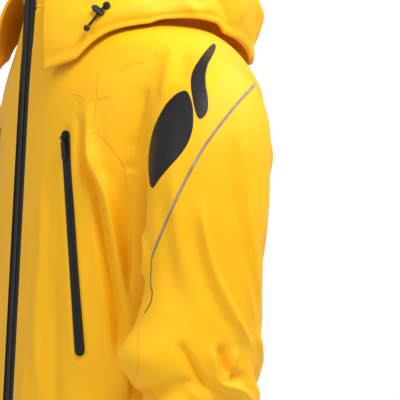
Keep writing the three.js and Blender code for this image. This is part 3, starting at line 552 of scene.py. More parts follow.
def fold_push(co, no, line, width, height, skew=0.0, ends=0.25):
    """Distance that each point moves along its normal for one fold along the line."""
    push = np.zeros(len(co))
    reach = 3.2 * width * MM
    near = np.all((co > line.min(0) - reach) & (co < line.max(0) + reach), axis=1)
    where = np.nonzero(near)[0]
    if len(where) == 0 or len(line) < 3:
        return push
    a, b = line[:-1], line[1:]
    d = b - a
    length2 = np.maximum((d * d).sum(1), 1e-12)
    total = len(a)
    for chunk in np.array_split(where, max(1, len(where) // 6000)):
        p = co[chunk][:, None, :]
        t = np.clip(((p - a) * d).sum(2) / length2, 0, 1)
        q = a + t[..., None] * d
        gap = p - q
        dist2 = (gap * gap).sum(2)
        best = dist2.argmin(1)
        rows = np.arange(len(chunk))
        dist = np.sqrt(dist2[rows, best])
        along = (best + t[rows, best]) / total
        side = (np.cross(d[best], no[chunk]) * gap[rows, best]).sum(1)
        wide = np.where(side > 0, width * (1 + skew), width * (1 - skew)) * MM
        taper = smoothstep(0, ends, along) * smoothstep(0, ends, 1 - along)
        push[chunk] = height * MM * taper * np.exp(-(dist / wide) ** 2)
    return push


# Folds: [view, half width, height, skew, points across and up in that view's plane].
# A positive height stands out and a negative one sinks in; skew widens one flank.
BIG_FOLDS = [
    # armhole: the front panel folds over beside the sleeve
    ["side", 8, 11, 0.4, [(-26, -140), (-22, -170), (-15, -195), (-2, -226), (7, -270), (16, -325),
                          (20, -362)]],
    ["side", 7.5, -12.5, -0.2, [(-42, -150), (-40, -178), (-34, -200), (-20, -228), (-12, -270),
                            (-2, -330), (8, -385), (10, -450)]],
    ["side", 12, -7, 0.0, [(28, -150), (25, -200), (23, -250), (22, -300), (24, -360)]],
    ["side", 9, -6, 0.3, [(46, -94), (38, -125), (30, -160), (24, -190)]],
    ["side", 9, 3.5, 0.0, [(72, -50), (70, -75), (67, -100), (64, -118)]],
    ["side", 10, -3, 0.0, [(86, -58), (88, -80), (84, -100)]],
    # chest folds beside the pocket zip
    ["side", 4.5, -6, 0.3, [(-39, -132), (-36, -160), (-33, -185), (-25, -208), (-14, -228)]],
    ["side", 9, 5, 0.0, [(-27, -116), (-25, -145), (-20, -175), (-9, -205)]],
    ["side", 14, 4, 0.0, [(-55, -180), (-50, -240), (-44, -300)]],
    # front of the sleeve
    ["side", 10, 6, 0.3, [(45, -200), (42, -250), (46, -300), (38, -350)]],
    ["side", 15, 4.5, 0.2, [(20, -404), (15, -430), (19, -454), (30, -470)]],
    ["side", 9, -8, 0.2, [(24, -462), (50, -452), (86, -440), (108, -446)]],
    ["side", 8, 5, -0.3, [(46, -476), (70, -462), (100, -470), (130, -480)]],
    # long ridges down the outer side of the sleeve
    ["side", 5, 7.0, 0.4, [(109, -215), (112, -255), (122, -304), (143, -354), (166, -396), (180, -418)]],
    ["side", 9, -4.0, 0.0, [(98, -245), (108, -304), (127, -354), (148, -396)]],
    ["side", 4.5, 5.5, 0.3, [(150, -120), (160, -160), (161, -225), (167, -278), (174, -336), (182, -390)]],
    ["side", 4.5, 3.6, 0.0, [(146, -232), (153, -280), (163, -336), (172, -383)]],
    ["side", 7, -4.0, 0.0, [(143, -150), (150, -210), (156, -280), (165, -336)]],
    ["side", 10, 3.0, 0.0, [(76, -176), (78, -220), (84, -280), (96, -340)]],
    ["side", 12, -3.0, 0.0, [(62, -210), (66, -270), (76, -330), (90, -372)]],
    # folds at the elbow
    ["side", 5, 10.5, 0.4, [(119, -388), (123, -412), (128, -436), (150, -446), (168, -460), (184, -464)]],
    ["side", 4.5, 8, 0.0, [(148, -396), (143, -418), (136, -440)]],
    ["side", 6, -8, 0.3, [(80, -384), (94, -408), (108, -432), (120, -454)]],
    ["side", 6, -7, 0.0, [(130, -390), (134, -414), (143, -430), (166, -436)]],
    ["side", 7, 5, 0.2, [(62, -452), (84, -440), (104, -452), (112, -466)]],
    ["side", 8, -8, 0.2, [(52, -458), (80, -474), (116, -478), (160, -480)]],
    # back of the jacket and of the sleeve
    ["back", 16, 5, 0.2, [(-90, -170), (-70, -260), (-64, -360), (-84, -470)]],
    ["back", 14, -5, 0.0, [(-130, -200), (-112, -280), (-96, -380), (-120, -520)]],
    ["back", 12, 4, 0.3, [(-160, -250), (-150, -340), (-140, -440), (-150, -560)]],
    ["back", 15, 4, 0.0, [(-30, -300), (-40, -400), (-34, -500), (-46, -620)]],
    ["back", 13, -4, 0.0, [(-10, -380), (-16, -470), (-12, -580)]],
    ["back", 8, 4, 0.2, [(-300, -150), (-270, -200), (-250, -260), (-256, -330)]],
    ["back", 8, -4, 0.0, [(-320, -260), (-290, -330), (-270, -400)]],
    ["back", 8, 5, 0.0, [(-325, -380), (-290, -420), (-250, -440)]],
    ["back", 8, -6, 0.0, [(-325, -420), (-290, -450), (-240, -462)]],
    ["back", 9, 4, 0.0, [(-310, -470), (-280, -500), (-246, -510)]],
    # front panels
    ["front", 12, 4, 0.2, [(60, -200), (74, -280), (70, -380), (86, -500)]],
    ["front", 12, -4, 0.0, [(96, -300), (104, -390), (112, -500), (118, -620)]],
    ["front", 14, 3.5, 0.0, [(46, -420), (52, -500), (44, -600)]],
    ["front", 12, 4, 0.2, [(150, -460), (146, -540), (156, -640)]],
    ["front", 9, -5, 0.2, [(236, -470), (272, -455), (312, -470)]],
    ["front", 9, 5, 0.2, [(228, -500), (270, -485), (318, -505)]],
    ["front", 8, -4, 0.0, [(240, -520), (276, -512), (312, -532)]],
    ["front", 9, 4, 0.0, [(262, -560), (270, -600), (276, -632)]],
    # outer side of the forearm
    ["arm", 9, 5, 0.2, [(-90, -500), (-50, -490), (-10, -515), (20, -530)]],
    ["arm", 8, -5, 0.0, [(-95, -525), (-55, -515), (-15, -540)]],
    ["arm", 8, 4, 0.0, [(-110, -560), (-70, -550), (-30, -580)]],
    ["arm", 7, -3, 0.0, [(-115, -590), (-80, -580), (-40, -605)]],
]

# Welded seams of the shoulder and chest: [view, points]; each is a low narrow strip in a deeper, more
# orange yellow, painted shade that stands in for a shallow groove.
SEAMS = [
    ["side", [(-47, -109), (-32, -114), (-38, -121)]],
    ["side", [(-14, -81), (-16, -116), (-19, -145)]],
    ["side", [(-14, -116), (1, -112)]],
    ["side", [(13, -82), (29, -73), (40, -73)]],
    ["side", [(54, -60), (57, -66)]],
    ["side", [(-19, -154), (-4, -165), (8, -180), (20, -200)]],
]


def shape_folds(skin):
    """Moves the skin's points along their normals, first for large and then for small folds."""
    tree = BVHTree.FromObject(skin, bpy.context.evaluated_depsgraph_get())
    lines = [on_skin(tree, view, points) for view, _, _, _, points in BIG_FOLDS]
    co, no = verts_of(skin.data), normals_of(skin.data)
    wave = np.array([noise.noise(Vector((p[0] * 11, p[1] * 11, p[2] * 4.5))) for p in co])
    fine = np.array([noise.noise(Vector((p[0] * 32, p[1] * 32 + 5, p[2] * 15))) for p in co])
    push = (2.6 * wave + 0.7 * fine) * MM
    for line, (_, width, height, skew, _) in zip(lines, BIG_FOLDS):
        push += fold_push(co, no, line, width, height, skew)
    inner = (co[:, 0] > 0.19) & (co[:, 0] < 0.235) & (co[:, 2] < -0.2)
    push[inner] *= 0.25
    hold = smoothstep(0, 0.02, co[:, 2] - BAND_Z * MM) * smoothstep(0, 0.02, NECK_Z * MM - co[:, 2])
    hold *= 1 - (1 - smoothstep(0.018, 0.05, co[:, 0])) * (co[:, 1] < 0)
    from_top = co - np.array(POCKET_TOP)
    down = np.clip(from_top @ np.array(POCKET_DOWN), 0, POCKET_LENGTH * MM)
    beside = np.linalg.norm(from_top - down[:, None] * np.array(POCKET_DOWN), axis=1)
    hold *= smoothstep(0.009, 0.026, beside)
    centre = np.abs(co[:, 0]) < 1e-5
    strip = np.abs(co[:, 0] * 1000 - (ARMHOLE_X + ARM_X) / 2) < (ARM_X - ARMHOLE_X) / 2 + 0.05
    across = co[strip, 0].copy()
    co = co + no * (push * hold - (1 - smoothstep(0.006, 0.011, beside)) * MM)[:, None]
    co = relax(co, edges_of(skin.data), 0.5 * np.ones(len(co)), 2)
    co[centre, 0] = 0
    co[strip, 0] = across
    set_verts(skin.data, co)


# ---------------------------------------------------------------- pieces cut from the skin
def piece_from(name, co, faces, keep, normals, material):
    """Object of the faces that are kept, with the whole skin's normals along its edges."""
    chosen = [f for f, k in zip(faces, keep) if k]
    used = np.unique(np.concatenate([np.array(f) for f in chosen]))
    renumber = np.full(len(co), -1)
    renumber[used] = np.arange(len(used))
    obj = mesh_object(name, co[used], [[renumber[i] for i in f] for f in chosen], material)
    obj.data.normals_split_custom_set_from_vertices([tuple(n) for n in normals[used]])
    return obj


def mirror_object(obj, name):
    copy = obj.copy()
    copy.data = obj.data.copy()
    copy.name = name
    bpy.context.collection.objects.link(copy)
    copy.data.transform(((-1, 0, 0, 0), (0, 1, 0, 0), (0, 0, 1, 0), (0, 0, 0, 1)))
    copy.data.flip_normals()
    return copy


def cut_seams(skin):
    """Cuts the half skin at its seams, so that every later piece ends on a straight edge."""
    upper = lambda c: c.z > -0.30
    for x in (ARMHOLE_X, ARMHOLE_X + 0.5, ARMHOLE_X + 1.1, ARMHOLE_X + 1.6, ARM_X):
        cut_plane(skin, (x * MM, 0, 0), (1, 0, 0), only=upper)
    cut_plane(skin, (0, 0, SLEEVE_SPLIT_Z * MM), (0, 0, 1), only=lambda c: c.x > SLEEVE_SIDE)
    cut_plane(skin, (0, 0, WRIST_Z * MM), (0, 0, 1), only=lambda c: c.x > WRIST_SIDE)
    cut_plane(skin, (0, 0, BAND_Z * MM), (0, 0, 1), only=lambda c: c.z < HEM_SIDE)
    cut_plane(skin, (0, 0, NECK_Z * MM), (0, 0, 1), only=lambda c: c.z > NECK_SIDE)
    cut_plane(skin, (OPENING * MM, 0, 0), (1, 0, 0), only=lambda c: c.y < FRONT_SIDE)


def split_skin(skin, centre, mats):
    """Torso, sleeve cap and lower sleeve, told apart by where each face was before the folds."""
    mesh = skin.data
    co, no = verts_of(mesh), normals_of(mesh)
    no[np.abs(co[:, 0]) < 1e-6, 0] = 0
    no = unit(no)
    faces = [tuple(p.vertices) for p in mesh.polygons]
    x, y, z = centre.T
    sleeve = np.where(z > -0.5, x > ARMHOLE_X * MM, x > 0.216)
    opening = (x < OPENING * MM) & (y < -0.03)
    torso = ~sleeve & (z < NECK_Z * MM) & (z > BAND_Z * MM) & ~opening
    cap = sleeve & (z > SLEEVE_SPLIT_Z * MM)
    lower = sleeve & (z < SLEEVE_SPLIT_Z * MM) & (z > WRIST_Z * MM)
    half = piece_from("torso_half", co, faces, torso, no, mats["shell"])
    other = mirror_object(half, "torso_other_half")
    bm = bmesh.new()
    bm.from_mesh(half.data)
    bm.from_mesh(other.data)
    bmesh.ops.remove_doubles(bm, verts=[v for v in bm.verts if abs(v.co.x) < 1e-5], dist=1e-5)
    shell = smoothed(from_bmesh(bm, "torso_shell", mats["shell"]))
    for old in (half, other):
        bpy.data.objects.remove(old)
    cap = piece_from("sleeve_cap_left", co, faces, cap, no, mats["shell"])
    lower = piece_from("sleeve_lower_left", co, faces, lower, no, mats["shell"])
    return shell, cap, lower


def both_sides(obj, base):
    obj.name = f"{base}_left"
    return {"left": obj, "right": mirror_object(obj, f"{base}_right")}


SIGN = {"left": 1, "right": -1}


def blend_shoulder(obj, side):
    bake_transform(obj)


def blend_elbow(obj, side):
    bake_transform(obj)


def make_skin(mats):
    skin = left_half_skin()
    cut_seams(skin)
    centre = np.array([tuple(p.center) for p in skin.data.polygons])
    shape_folds(skin)
    shell, cap, lower = split_skin(skin, centre, mats)
    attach(shell, "torso")
    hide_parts("front_panel_left", "front_panel_right", "side_panel_left", "side_panel_right",
                "back_panel", "yoke_left", "yoke_right", "armhole_binding_left",
                "armhole_binding_right")
    tree = BVHTree.FromObject(skin, bpy.context.evaluated_depsgraph_get())
    for side, obj in both_sides(cap, "sleeve_cap").items():
        blend_shoulder(obj, side)
        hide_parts(f"sleeve_upper_{side}")
    for side, obj in both_sides(lower, "sleeve_lower").items():
        blend_elbow(obj, side)
        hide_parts(f"sleeve_forearm_{side}")
    bpy.data.objects.remove(skin)
    return tree


# ---------------------------------------------------------------- hood
def hood_outline(turn, inner):
    across, ahead = np.sin(turn * math.pi), -np.cos(turn * math.pi)
    front = ahead < 0
    if inner:
        power = np.where(front, 2.0, 5.0)
        wide, deep = 80.4, np.where(front, 117.0, 108.0)
    else:
        power = np.full_like(across, 2.2)
        wide, deep = 155.0, np.where(front, 145.0, 182.0)
    return np.stack([wide * signed_power(across, power), deep * signed_power(ahead, power)], -1)


def rest_level(at):
    """Height at which the torso surface passes under each point seen from above."""
    low = np.full(len(at), -400.0)
    high = np.full(len(at), float(NECK_Z))
    for _ in range(26):
        middle = (low + high) / 2
        wide, back, front_power, back_power = curve(TORSO, middle).T
        front = at[:, 1] < 0
        power = np.where(front, front_power, back_power)
        deep = np.where(front, front_depth(middle), back)
        inside = (np.abs(at[:, 0]) / wide) ** power + (np.abs(at[:, 1]) / deep) ** power < 1
        low = np.where(inside, middle, low)
        high = np.where(inside, high, middle)
    return low


def hood_points(turn, v):
    """The fold of the hood: v = 0 is its seam at the collar and 1 its hanging lower edge."""
    side = np.where(turn > 1, 2 - turn, turn)
    values = curve(HOOD, side)
    top, low = values[:, 0], values[:, 1]
    inner, outer = hood_outline(turn, True), hood_outline(turn, False)
    tuck = smoothstep(0.60, 0.80, side)
    edge = outer * (1 - 0.10 * tuck)[:, None]
    length = np.linalg.norm(edge, axis=1)[:, None]
    low = np.maximum(low, rest_level(edge * (length - 2 * HOOD_WALL) / length) + 2)
    rise = (top * 4 - 1 - low) / 3 * 0.78
    w = [(1 - v) ** 3, 3 * v * (1 - v) ** 2, 3 * v * v * (1 - v), v ** 3]
    across = 0.02 * w[1] + (0.98 + 0.45 * tuck) * w[2] + (0.98 - 0.10 * tuck) * w[3]
    z = w[0] + rise * (w[1] + w[2]) + low * w[3]
    flat = inner + (outer - inner) * np.reshape(across, (-1, 1))
    return np.stack([flat[:, 0], flat[:, 1], z], -1)


HOOD_FOLDS = [
    ["side", 9, 4, 0.2, [(77, 34), (84, 10), (98, -14), (104, -22)]],
    ["side", 10, -3.5, 0.0, [(92, 34), (100, 12), (110, -8)]],
    ["side", 8, -4, 0.2, [(118, 20), (134, 0), (142, -24), (150, -52)]],
    ["side", 12, 4, 0.0, [(134, 30), (152, 6), (160, -24)]],
    ["side", 14, 3, 0.0, [(-46, -30), (-10, -20), (30, -2), (60, 6)]],
    ["side", 10, -3, 0.0, [(-46, -8), (-10, 2), (30, 12)]],
    ["back", 12, 5, 0.2, [(-120, 20), (-70, -10), (0, -20), (70, -12), (120, 16)]],
    ["back", 10, -5, 0.0, [(-110, -30), (-50, -56), (0, -60), (54, -54), (110, -32)]],
    ["back", 8, -4, 0.2, [(-30, 30), (-36, 0), (-24, -50), (-28, -96)]],
    ["back", 8, 4, 0.2, [(60, 30), (48, -10), (58, -60), (50, -96)]],
    ["back", 7, -4, 0.2, [(96, 14), (84, -20), (90, -70)]],
    ["back", 7, -4, 0.2, [(-96, 18), (-88, -24), (-94, -66)]],
]


def make_hood(mats):
    start, end = HOOD[0][0], 2 - HOOD[0][0]
    columns, rows = 360, 66
    point = lambda u, v: hood_points(start + (end - start) * u, 0.012 + 0.988 * v)
    co = rows_of(point, columns, rows) * MM
    hood = mesh_object("hood_shell", co, grid_faces(columns, rows), mats["shell"])
    tree = BVHTree.FromObject(hood, bpy.context.evaluated_depsgraph_get())
    no = normals_of(hood.data)
    if no[len(no) // 2][2] < 0:
        hood.data.flip_normals()
        hood.data.update()
        no = normals_of(hood.data)
    push = np.array([noise.noise(Vector((p[0] * 13, p[1] * 13, p[2] * 13 + 3))) for p in co]) * 3.2
    push += np.array([noise.noise(Vector((p[0] * 40, p[1] * 40, p[2] * 40))) for p in co]) * 0.7
    push = push * MM
    for view, width, height, skew, points in HOOD_FOLDS:
        push += fold_push(co, no, on_skin(tree, view, points), width, height, skew)
    v = np.repeat(np.arange(rows + 1) / rows, columns + 1)
    tuck = 4.5 * MM * np.exp(-((v - 0.955) / 0.012) ** 2) * -0.35
    hold = smoothstep(0, 0.18, v)
    co = co + no * (push * hold * (1 - 0.75 * smoothstep(0.9, 1, v)) + tuck)[:, None]
    set_verts(hood.data, co)
    modifier(hood, "SOLIDIFY", thickness=4.0 * MM, offset=-1, use_rim=True)
    applied(hood)
    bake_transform(hood)
    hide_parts("hood_back", "hood_cheek_left", "hood_cheek_right")


# ---------------------------------------------------------------- bands, ribbons and threads
def ribbon(name, line, normals, width, height, material):
    """Low domed strip of a given width lying on a surface along a line of points."""
    profile = [(-0.5, -0.4), (-0.5, 0.5), (-0.3, 0.9), (0, 1.0), (0.3, 0.9), (0.5, 0.5), (0.5, -0.4)]
    verts = []
    for i, (p, n) in enumerate(zip(line, normals)):
        ahead = line[min(i + 1, len(line) - 1)] - line[max(i - 1, 0)]
        across = np.cross(ahead, n)
        across /= max(np.linalg.norm(across), 1e-9)
        verts += [p + across * a * width * MM + n * b * height * MM for a, b in profile]
    wide = len(profile)
    faces = grid_faces(wide, len(line) - 1, ring=True)
    faces.append(tuple(range(wide)))
    faces.append(tuple((len(line) - 1) * wide + i for i in reversed(range(wide))))
    obj = mesh_object(name, verts, faces, material)
    bm = bmesh.new()
    bm.from_mesh(obj.data)
    bmesh.ops.recalc_face_normals(bm, faces=bm.faces)
    bm.to_mesh(obj.data)
    bm.free()
    return obj


def drop(tree, view, points, step=2.0):
    """Points and normals of the surface along a route drawn in a view's plane."""
    line, normals = [], []
    for a, z in smooth_route(points, step):
        across = Vector((-FROM[view].y, FROM[view].x, 0))
        origin = across * a * MM + Vector((0, 0, z * MM)) + FROM[view]
        at, normal, _, _ = tree.ray_cast(origin, -FROM[view])
        if at is None:
            continue
        at = np.array(at)
        missing = int(np.linalg.norm(at - line[-1]) / (1.4 * step * MM)) if line else 0
        for k in range(1, missing + 1):
            between = line[-1] + (at - line[-1]) / (missing + 2 - k)
            near, turned, _, _ = tree.find_nearest(Vector(between))
            line.append(np.array(near))
            normals.append(np.array(turned if turned.dot(normal) > 0 else -turned))
        line.append(at)
        normals.append(np.array(normal if normal.dot(FROM[view]) > 0 else -normal))
    normals = np.array(normals)
    for _ in range(3):
        normals[1:-1] = (normals[:-2] + normals[1:-1] + normals[2:]) / 3
    return np.array(line), unit(normals)


def stitches(name, line, normals, material, pitch=3.2, length=2.2, radius=0.28, lift=0.15):
    """Row of short threads along a line, each a small bent bar."""
    gaps = np.linalg.norm(np.diff(line, axis=0), axis=1)
    run = np.concatenate([[0], np.cumsum(gaps)])
    verts, faces = [], []
    for k in range(int(run[-1] / (pitch * MM))):
        here = []
        for share, up in ((0, -0.6), (0.18, 0.7), (0.5, 1.0), (0.82, 0.7), (1, -0.6)):
            at = k * pitch * MM + share * length * MM
            p = np.array([np.interp(at, run, line[:, c]) for c in range(3)])
            n = np.array([np.interp(at, run, normals[:, c]) for c in range(3)])
            here.append((p + n * (lift + up * radius) * MM, n))
        ahead = here[-1][0] - here[0][0]
        across = np.cross(ahead, here[2][1])
        across /= max(np.linalg.norm(across), 1e-9)
        base = len(verts)
        for p, n in here:
            for angle in (0, 60, 120, 180, 240, 300):
                c, s = math.cos(math.radians(angle)), math.sin(math.radians(angle))
                verts.append(p + (across * c + n * s) * radius * MM)
        faces += [tuple(base + i for i in f) for f in grid_faces(6, 4, ring=True)]
        faces.append(tuple(base + i for i in range(6)))
        faces.append(tuple(base + 24 + i for i in reversed(range(6))))
    return mesh_object(name, verts, faces, material)


# ---------------------------------------------------------------- seams, piping and the print
PIPING = [(172, -97), (153, -116), (136, -136), (122, -154), (107, -176), (89, -209), (74, -241),
          (60, -274), (52, -294)]
PIPING_TAIL = [(52, -294), (51, -304), (50, -325), (52, -336), (50, -348), (43, -360)]
ELBOW_SEAM = [(43, -360), (37, -372), (36, -420), (30, -441), (40, -460)]


def make_seams(tree, mats):
    for k, (view, points) in enumerate(SEAMS):
        line, normals = drop(tree, view, points)
        # welded seam strip in the deeper yellow: painted groove shade
        obj = ribbon(f"welded_seam_{k}_left", line, normals, 1.3, 0.25, mats["seam"])
        x = line[:, 0].mean()
        for side, part in both_sides(obj, f"welded_seam_{k}").items():
            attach(part, f"upper_arm_{side}" if x > ARM_X * MM else "torso")
    line, normals = drop(tree, "side", PIPING)
    obj = ribbon("piping_left", line, normals, 3.2, 1.0, mats["piping"])
    for side, part in both_sides(obj, "piping").items():
        blend_shoulder(part, side)
        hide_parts(f"sleeve_piping_{side}")
    # the piping's tail wears the darker copy: painted shade where it runs into the fold
    line, normals = drop(tree, "side", PIPING_TAIL)
    obj = ribbon("piping_tail_left", line, normals, 1.7, 0.4, mats["piping_painted_shade"])
    for side, part in both_sides(obj, "piping_tail").items():
        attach(part, f"upper_arm_{side}")
    line, normals = drop(tree, "side", ELBOW_SEAM)
    # elbow seam in the same deeper yellow: painted shade of the crease
    obj = ribbon("elbow_seam_left", line, normals, 1.1, 0.2, mats["seam"])
    for side, part in both_sides(obj, "elbow_seam").items():
        blend_elbow(part, side)


# Printed panels on the shoulder, in the side view's plane: a leaf beside the piping and a bent
# tapering band above it, a plain geometric decoration.
PRINT = {
    "print_band": [(92, -104), (99, -122), (99, -150), (90, -172), (62, -203), (50, -222),
                   (46, -186), (52, -150), (66, -122), (80, -108)],
    "print_wedge": [(122, -47), (127, -54), (111, -84), (118, -128), (104, -142), (95, -100),
                    (98, -80)],
}


def rounded(polygon, rounds=2, share=0.22):
    """The outline with its corners cut off a little more finely each round."""
    for _ in range(rounds):
        ends = polygon[1:] + polygon[:1]
        polygon = [tuple(p + (q - p) * t for p, q in zip(one, two))
                   for one, two in zip(polygon, ends) for t in (share, 1 - share)]
    return polygon


def print_panel(name, polygon, tree, material, lift=0.35):
    """Thin film over the cloth inside an outline drawn in the side view's plane."""
    bm = bmesh.new()
    polygon = rounded(polygon)
    corners = [bm.verts.new((a, z, 0)) for a, z in polygon]
    bm.faces.new(corners)
    bmesh.ops.triangulate(bm, faces=bm.faces)
    low, high = np.min(polygon, 0), np.max(polygon, 0)
    pitch = 2.2
    for axis in (0, 1):
        for k in range(int((high[axis] - low[axis]) / pitch) + 1):
            at = [0, 0, 0]
            at[axis] = low[axis] + k * pitch + 0.37
            normal = [0, 0, 0]
            normal[axis] = 1
            bmesh.ops.bisect_plane(bm, geom=bm.verts[:] + bm.edges[:] + bm.faces[:], plane_co=at,
                                   plane_no=normal, dist=1e-4)
    for v in bm.verts:
        across = Vector((-TOWARDS_FLAT.y, TOWARDS_FLAT.x, 0))
        origin = across * v.co.x * MM + Vector((0, 0, v.co.y * MM)) + TOWARDS_FLAT
        at, normal, _, _ = tree.ray_cast(origin, -TOWARDS_FLAT)
        v.co = at + normal * lift * MM * (1 if normal.dot(TOWARDS_FLAT) > 0 else -1)
    bmesh.ops.recalc_face_normals(bm, faces=bm.faces)
    obj = smoothed(from_bmesh(bm, name, material))
    modifier(obj, "SOLIDIFY", thickness=0.3 * MM, offset=-1)
    return applied(obj)


def make_print(tree, mats):
    for base, polygon in PRINT.items():
        obj = print_panel(base, [tuple(p) for p in polygon], tree, mats["print"])
        for side, part in both_sides(obj, base).items():
            blend_shoulder(part, side)


# ---------------------------------------------------------------- collar, hem band and cuffs
def walled(name, outer, columns, rows, ring, thickness, material):
    """Sheet with a real thickness on its inner side, from its outer points row by row."""
    obj = mesh_object(name, outer * MM, grid_faces(columns, rows, ring), material)
    centre = verts_of(obj.data).mean(0)
    no = normals_of(obj.data)
    if ((verts_of(obj.data) - centre) * no).sum() < 0:
        obj.data.flip_normals()
        obj.data.update()
    modifier(obj, "SOLIDIFY", thickness=thickness * MM, offset=-1, use_rim=True)
    modifier(obj, "BEVEL", width=min(0.9, thickness / 3) * MM, segments=2, limit_method="ANGLE")
    return applied(obj)


def collar_points(turn, z, grow):
    across, ahead = np.sin(turn * math.pi), -np.cos(turn * math.pi)
    deep = np.where(ahead < 0, front_depth(z), 79.8) + grow
    return np.stack([(79.8 + grow) * across, deep * ahead, np.full_like(across, z)], -1)


def make_collar(mats):
    gap = math.asin(OPENING / 80) / math.pi
    def layer(name, low, high, grow, puff, thickness, material, node):
        def point(u, v):
            z = high + (low - high) * v
            ripple = 0.5 * np.sin(u * 37) * np.sin(v * math.pi) + 0.4 * np.sin(u * 61 + 2) * v
            bulge = puff * (np.sin(v * math.pi) ** 0.6 + 0.25 * ripple)
            groove = -0.8 * (math.exp(-((v - 0.10) / 0.02) ** 2) + math.exp(-((v - 0.93) / 0.02) ** 2))
            p = collar_points(gap + (2 - 2 * gap) * u, z, 0)
            out = unit(p * np.array([1, 1, 0]))
            return p + out * (grow + bulge + groove)[:, None]
        obj = walled(name, rows_of(point, 220, 44), 220, 44, False, thickness, material)
        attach(obj, "torso")
        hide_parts(node)
    layer("collar_shell", -4.5, 72, -1.2, 1.4, 3.6, mats["shell"], "collar")
    layer("collar_inside", -1.8, 70, -5.4, -0.5, 1.8, mats["lining"], "collar_lining")


def edge_turns(u, z, grow=0.0):
    edge = front_turn(OPENING, z)[0] + grow
    return edge + (2 - 2 * edge) * u


def outwards(turn, z, by):
    """Torso points moved outwards, level by level."""
    p = torso_points(turn, z)
    step = torso_points(turn + 0.002, z) - torso_points(turn - 0.002, z)
    out = np.stack([step[:, 1], -step[:, 0], 0 * turn], -1)
    out /= np.linalg.norm(out, axis=1)[:, None] + 1e-9
    out *= np.sign((out * p).sum(1))[:, None]
    return p + out * np.asarray(by).reshape(-1, 1)


def make_hem(mats):
    columns, rows = 480, 20
    def point(u, v):
        z = BAND_Z + (HEM_Z - BAND_Z) * v + 0.4 * np.sin(u * 70)[0]
        turn = edge_turns(u, z)
        gather = 0.7 * np.sin(u * columns * 0.5) * np.sin(v * math.pi) + 1.0 * np.sin(u * 46)
        roll = 2.6 * (math.sin(v * math.pi) ** 0.5) - 1.2
        groove = -1.2 * math.exp(-((v - 0.30) / 0.03) ** 2)
        return outwards(turn, np.full_like(turn, z), roll + groove + 0.5 * gather)
    band = walled("hem_band_shell", rows_of(point, columns, rows), columns, rows, False, 4.0,
                  mats["shell"])
    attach(band, "torso")
    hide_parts("hem_band")
    turns = edge_turns(np.linspace(0.004, 0.996, 600), -703)
    line = outwards(turns, np.full_like(turns, -700.0), np.full_like(turns, 1.6)) * MM
    normals = unit(line * np.array([1, 1, 0]))
    row = stitches("hem_stitches", line, normals, mats["thread"], pitch=4.2, length=3.0)
    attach(row, "torso")


def cuff_points(turn, z, grow):
    angle = turn * 2 * math.pi
    lean = -78 + 0.45 * (z - WRIST_Z)
    return np.stack([281 + (47 + grow) * np.cos(angle), lean + (54 + grow) * np.sin(angle),
                     z + 0 * angle], -1)


def make_cuffs(mats):
    def cuff(u, v):
        z = -638 - 37 * v
        ripple = 0.8 * np.sin(u * 2 * math.pi * 9) * math.sin(v * math.pi)
        roll = 1.6 * (math.sin(v * math.pi) ** 0.5) - 1.4 * math.exp(-((v - 0.72) / 0.03) ** 2)
        return cuff_points(u, z, -0.8 + roll + 0.5 * ripple)
    obj = walled("cuff_shell_left", rows_of(cuff, 160, 24, True), 160, 24, True, 3.4, mats["shell"])
    for side, part in both_sides(obj, "cuff_shell").items():
        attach(part, f"forearm_{side}")
        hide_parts(f"cuff_{side}")
    turns = np.linspace(0, 1, 360)
    line = cuff_points(turns, -664.0, 0.6) * MM
    normals = unit((line - line.mean(0)) * np.array([1, 1, 0]))
    row = stitches("cuff_stitches_left", line, normals, mats["thread"], pitch=4.2, length=3.0)
    for side, part in both_sides(row, "cuff_stitches").items():
        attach(part, f"forearm_{side}")

    def gaiter(u, v):
        z = -630 - 46 * v
        rib = 0.35 * np.sin(u * 2 * math.pi * 60)
        return cuff_points(u, z, -4.6 - 10 * v + rib)
    obj = walled("gaiter_left", rows_of(gaiter, 480, 10, True), 480, 10, True, 1.8, mats["lining"])
    for side, part in both_sides(obj, "gaiter").items():
        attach(part, f"forearm_{side}")
        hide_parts(f"wrist_gaiter_{side}")

    def tab(u, v):
        turn = (-4 + 4 * u) / 16
        end = 1 - 0.35 * smoothstep(0.82, 1.0, u) ** 2
        z = -657.3 - 13.6 * (2 * v - 1) * end
        grow = 3.0 + 0.5 * np.sin(v * math.pi) + 0.5 * smoothstep(0, 0.1, u)
        p = cuff_points(turn, z, 0)
        out = np.stack([np.cos(turn * 2 * math.pi), np.sin(turn * 2 * math.pi), 0 * turn], -1)
        return p + out * grow[:, None]
    obj = walled("cuff_strap_left", rows_of(tab, 60, 16), 60, 16, False, 2.0, mats["tape"])
    for side, part in both_sides(obj, "cuff_strap").items():
        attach(part, f"cuff_tab_{side}")
        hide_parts(f"cuff_tab_{side}")


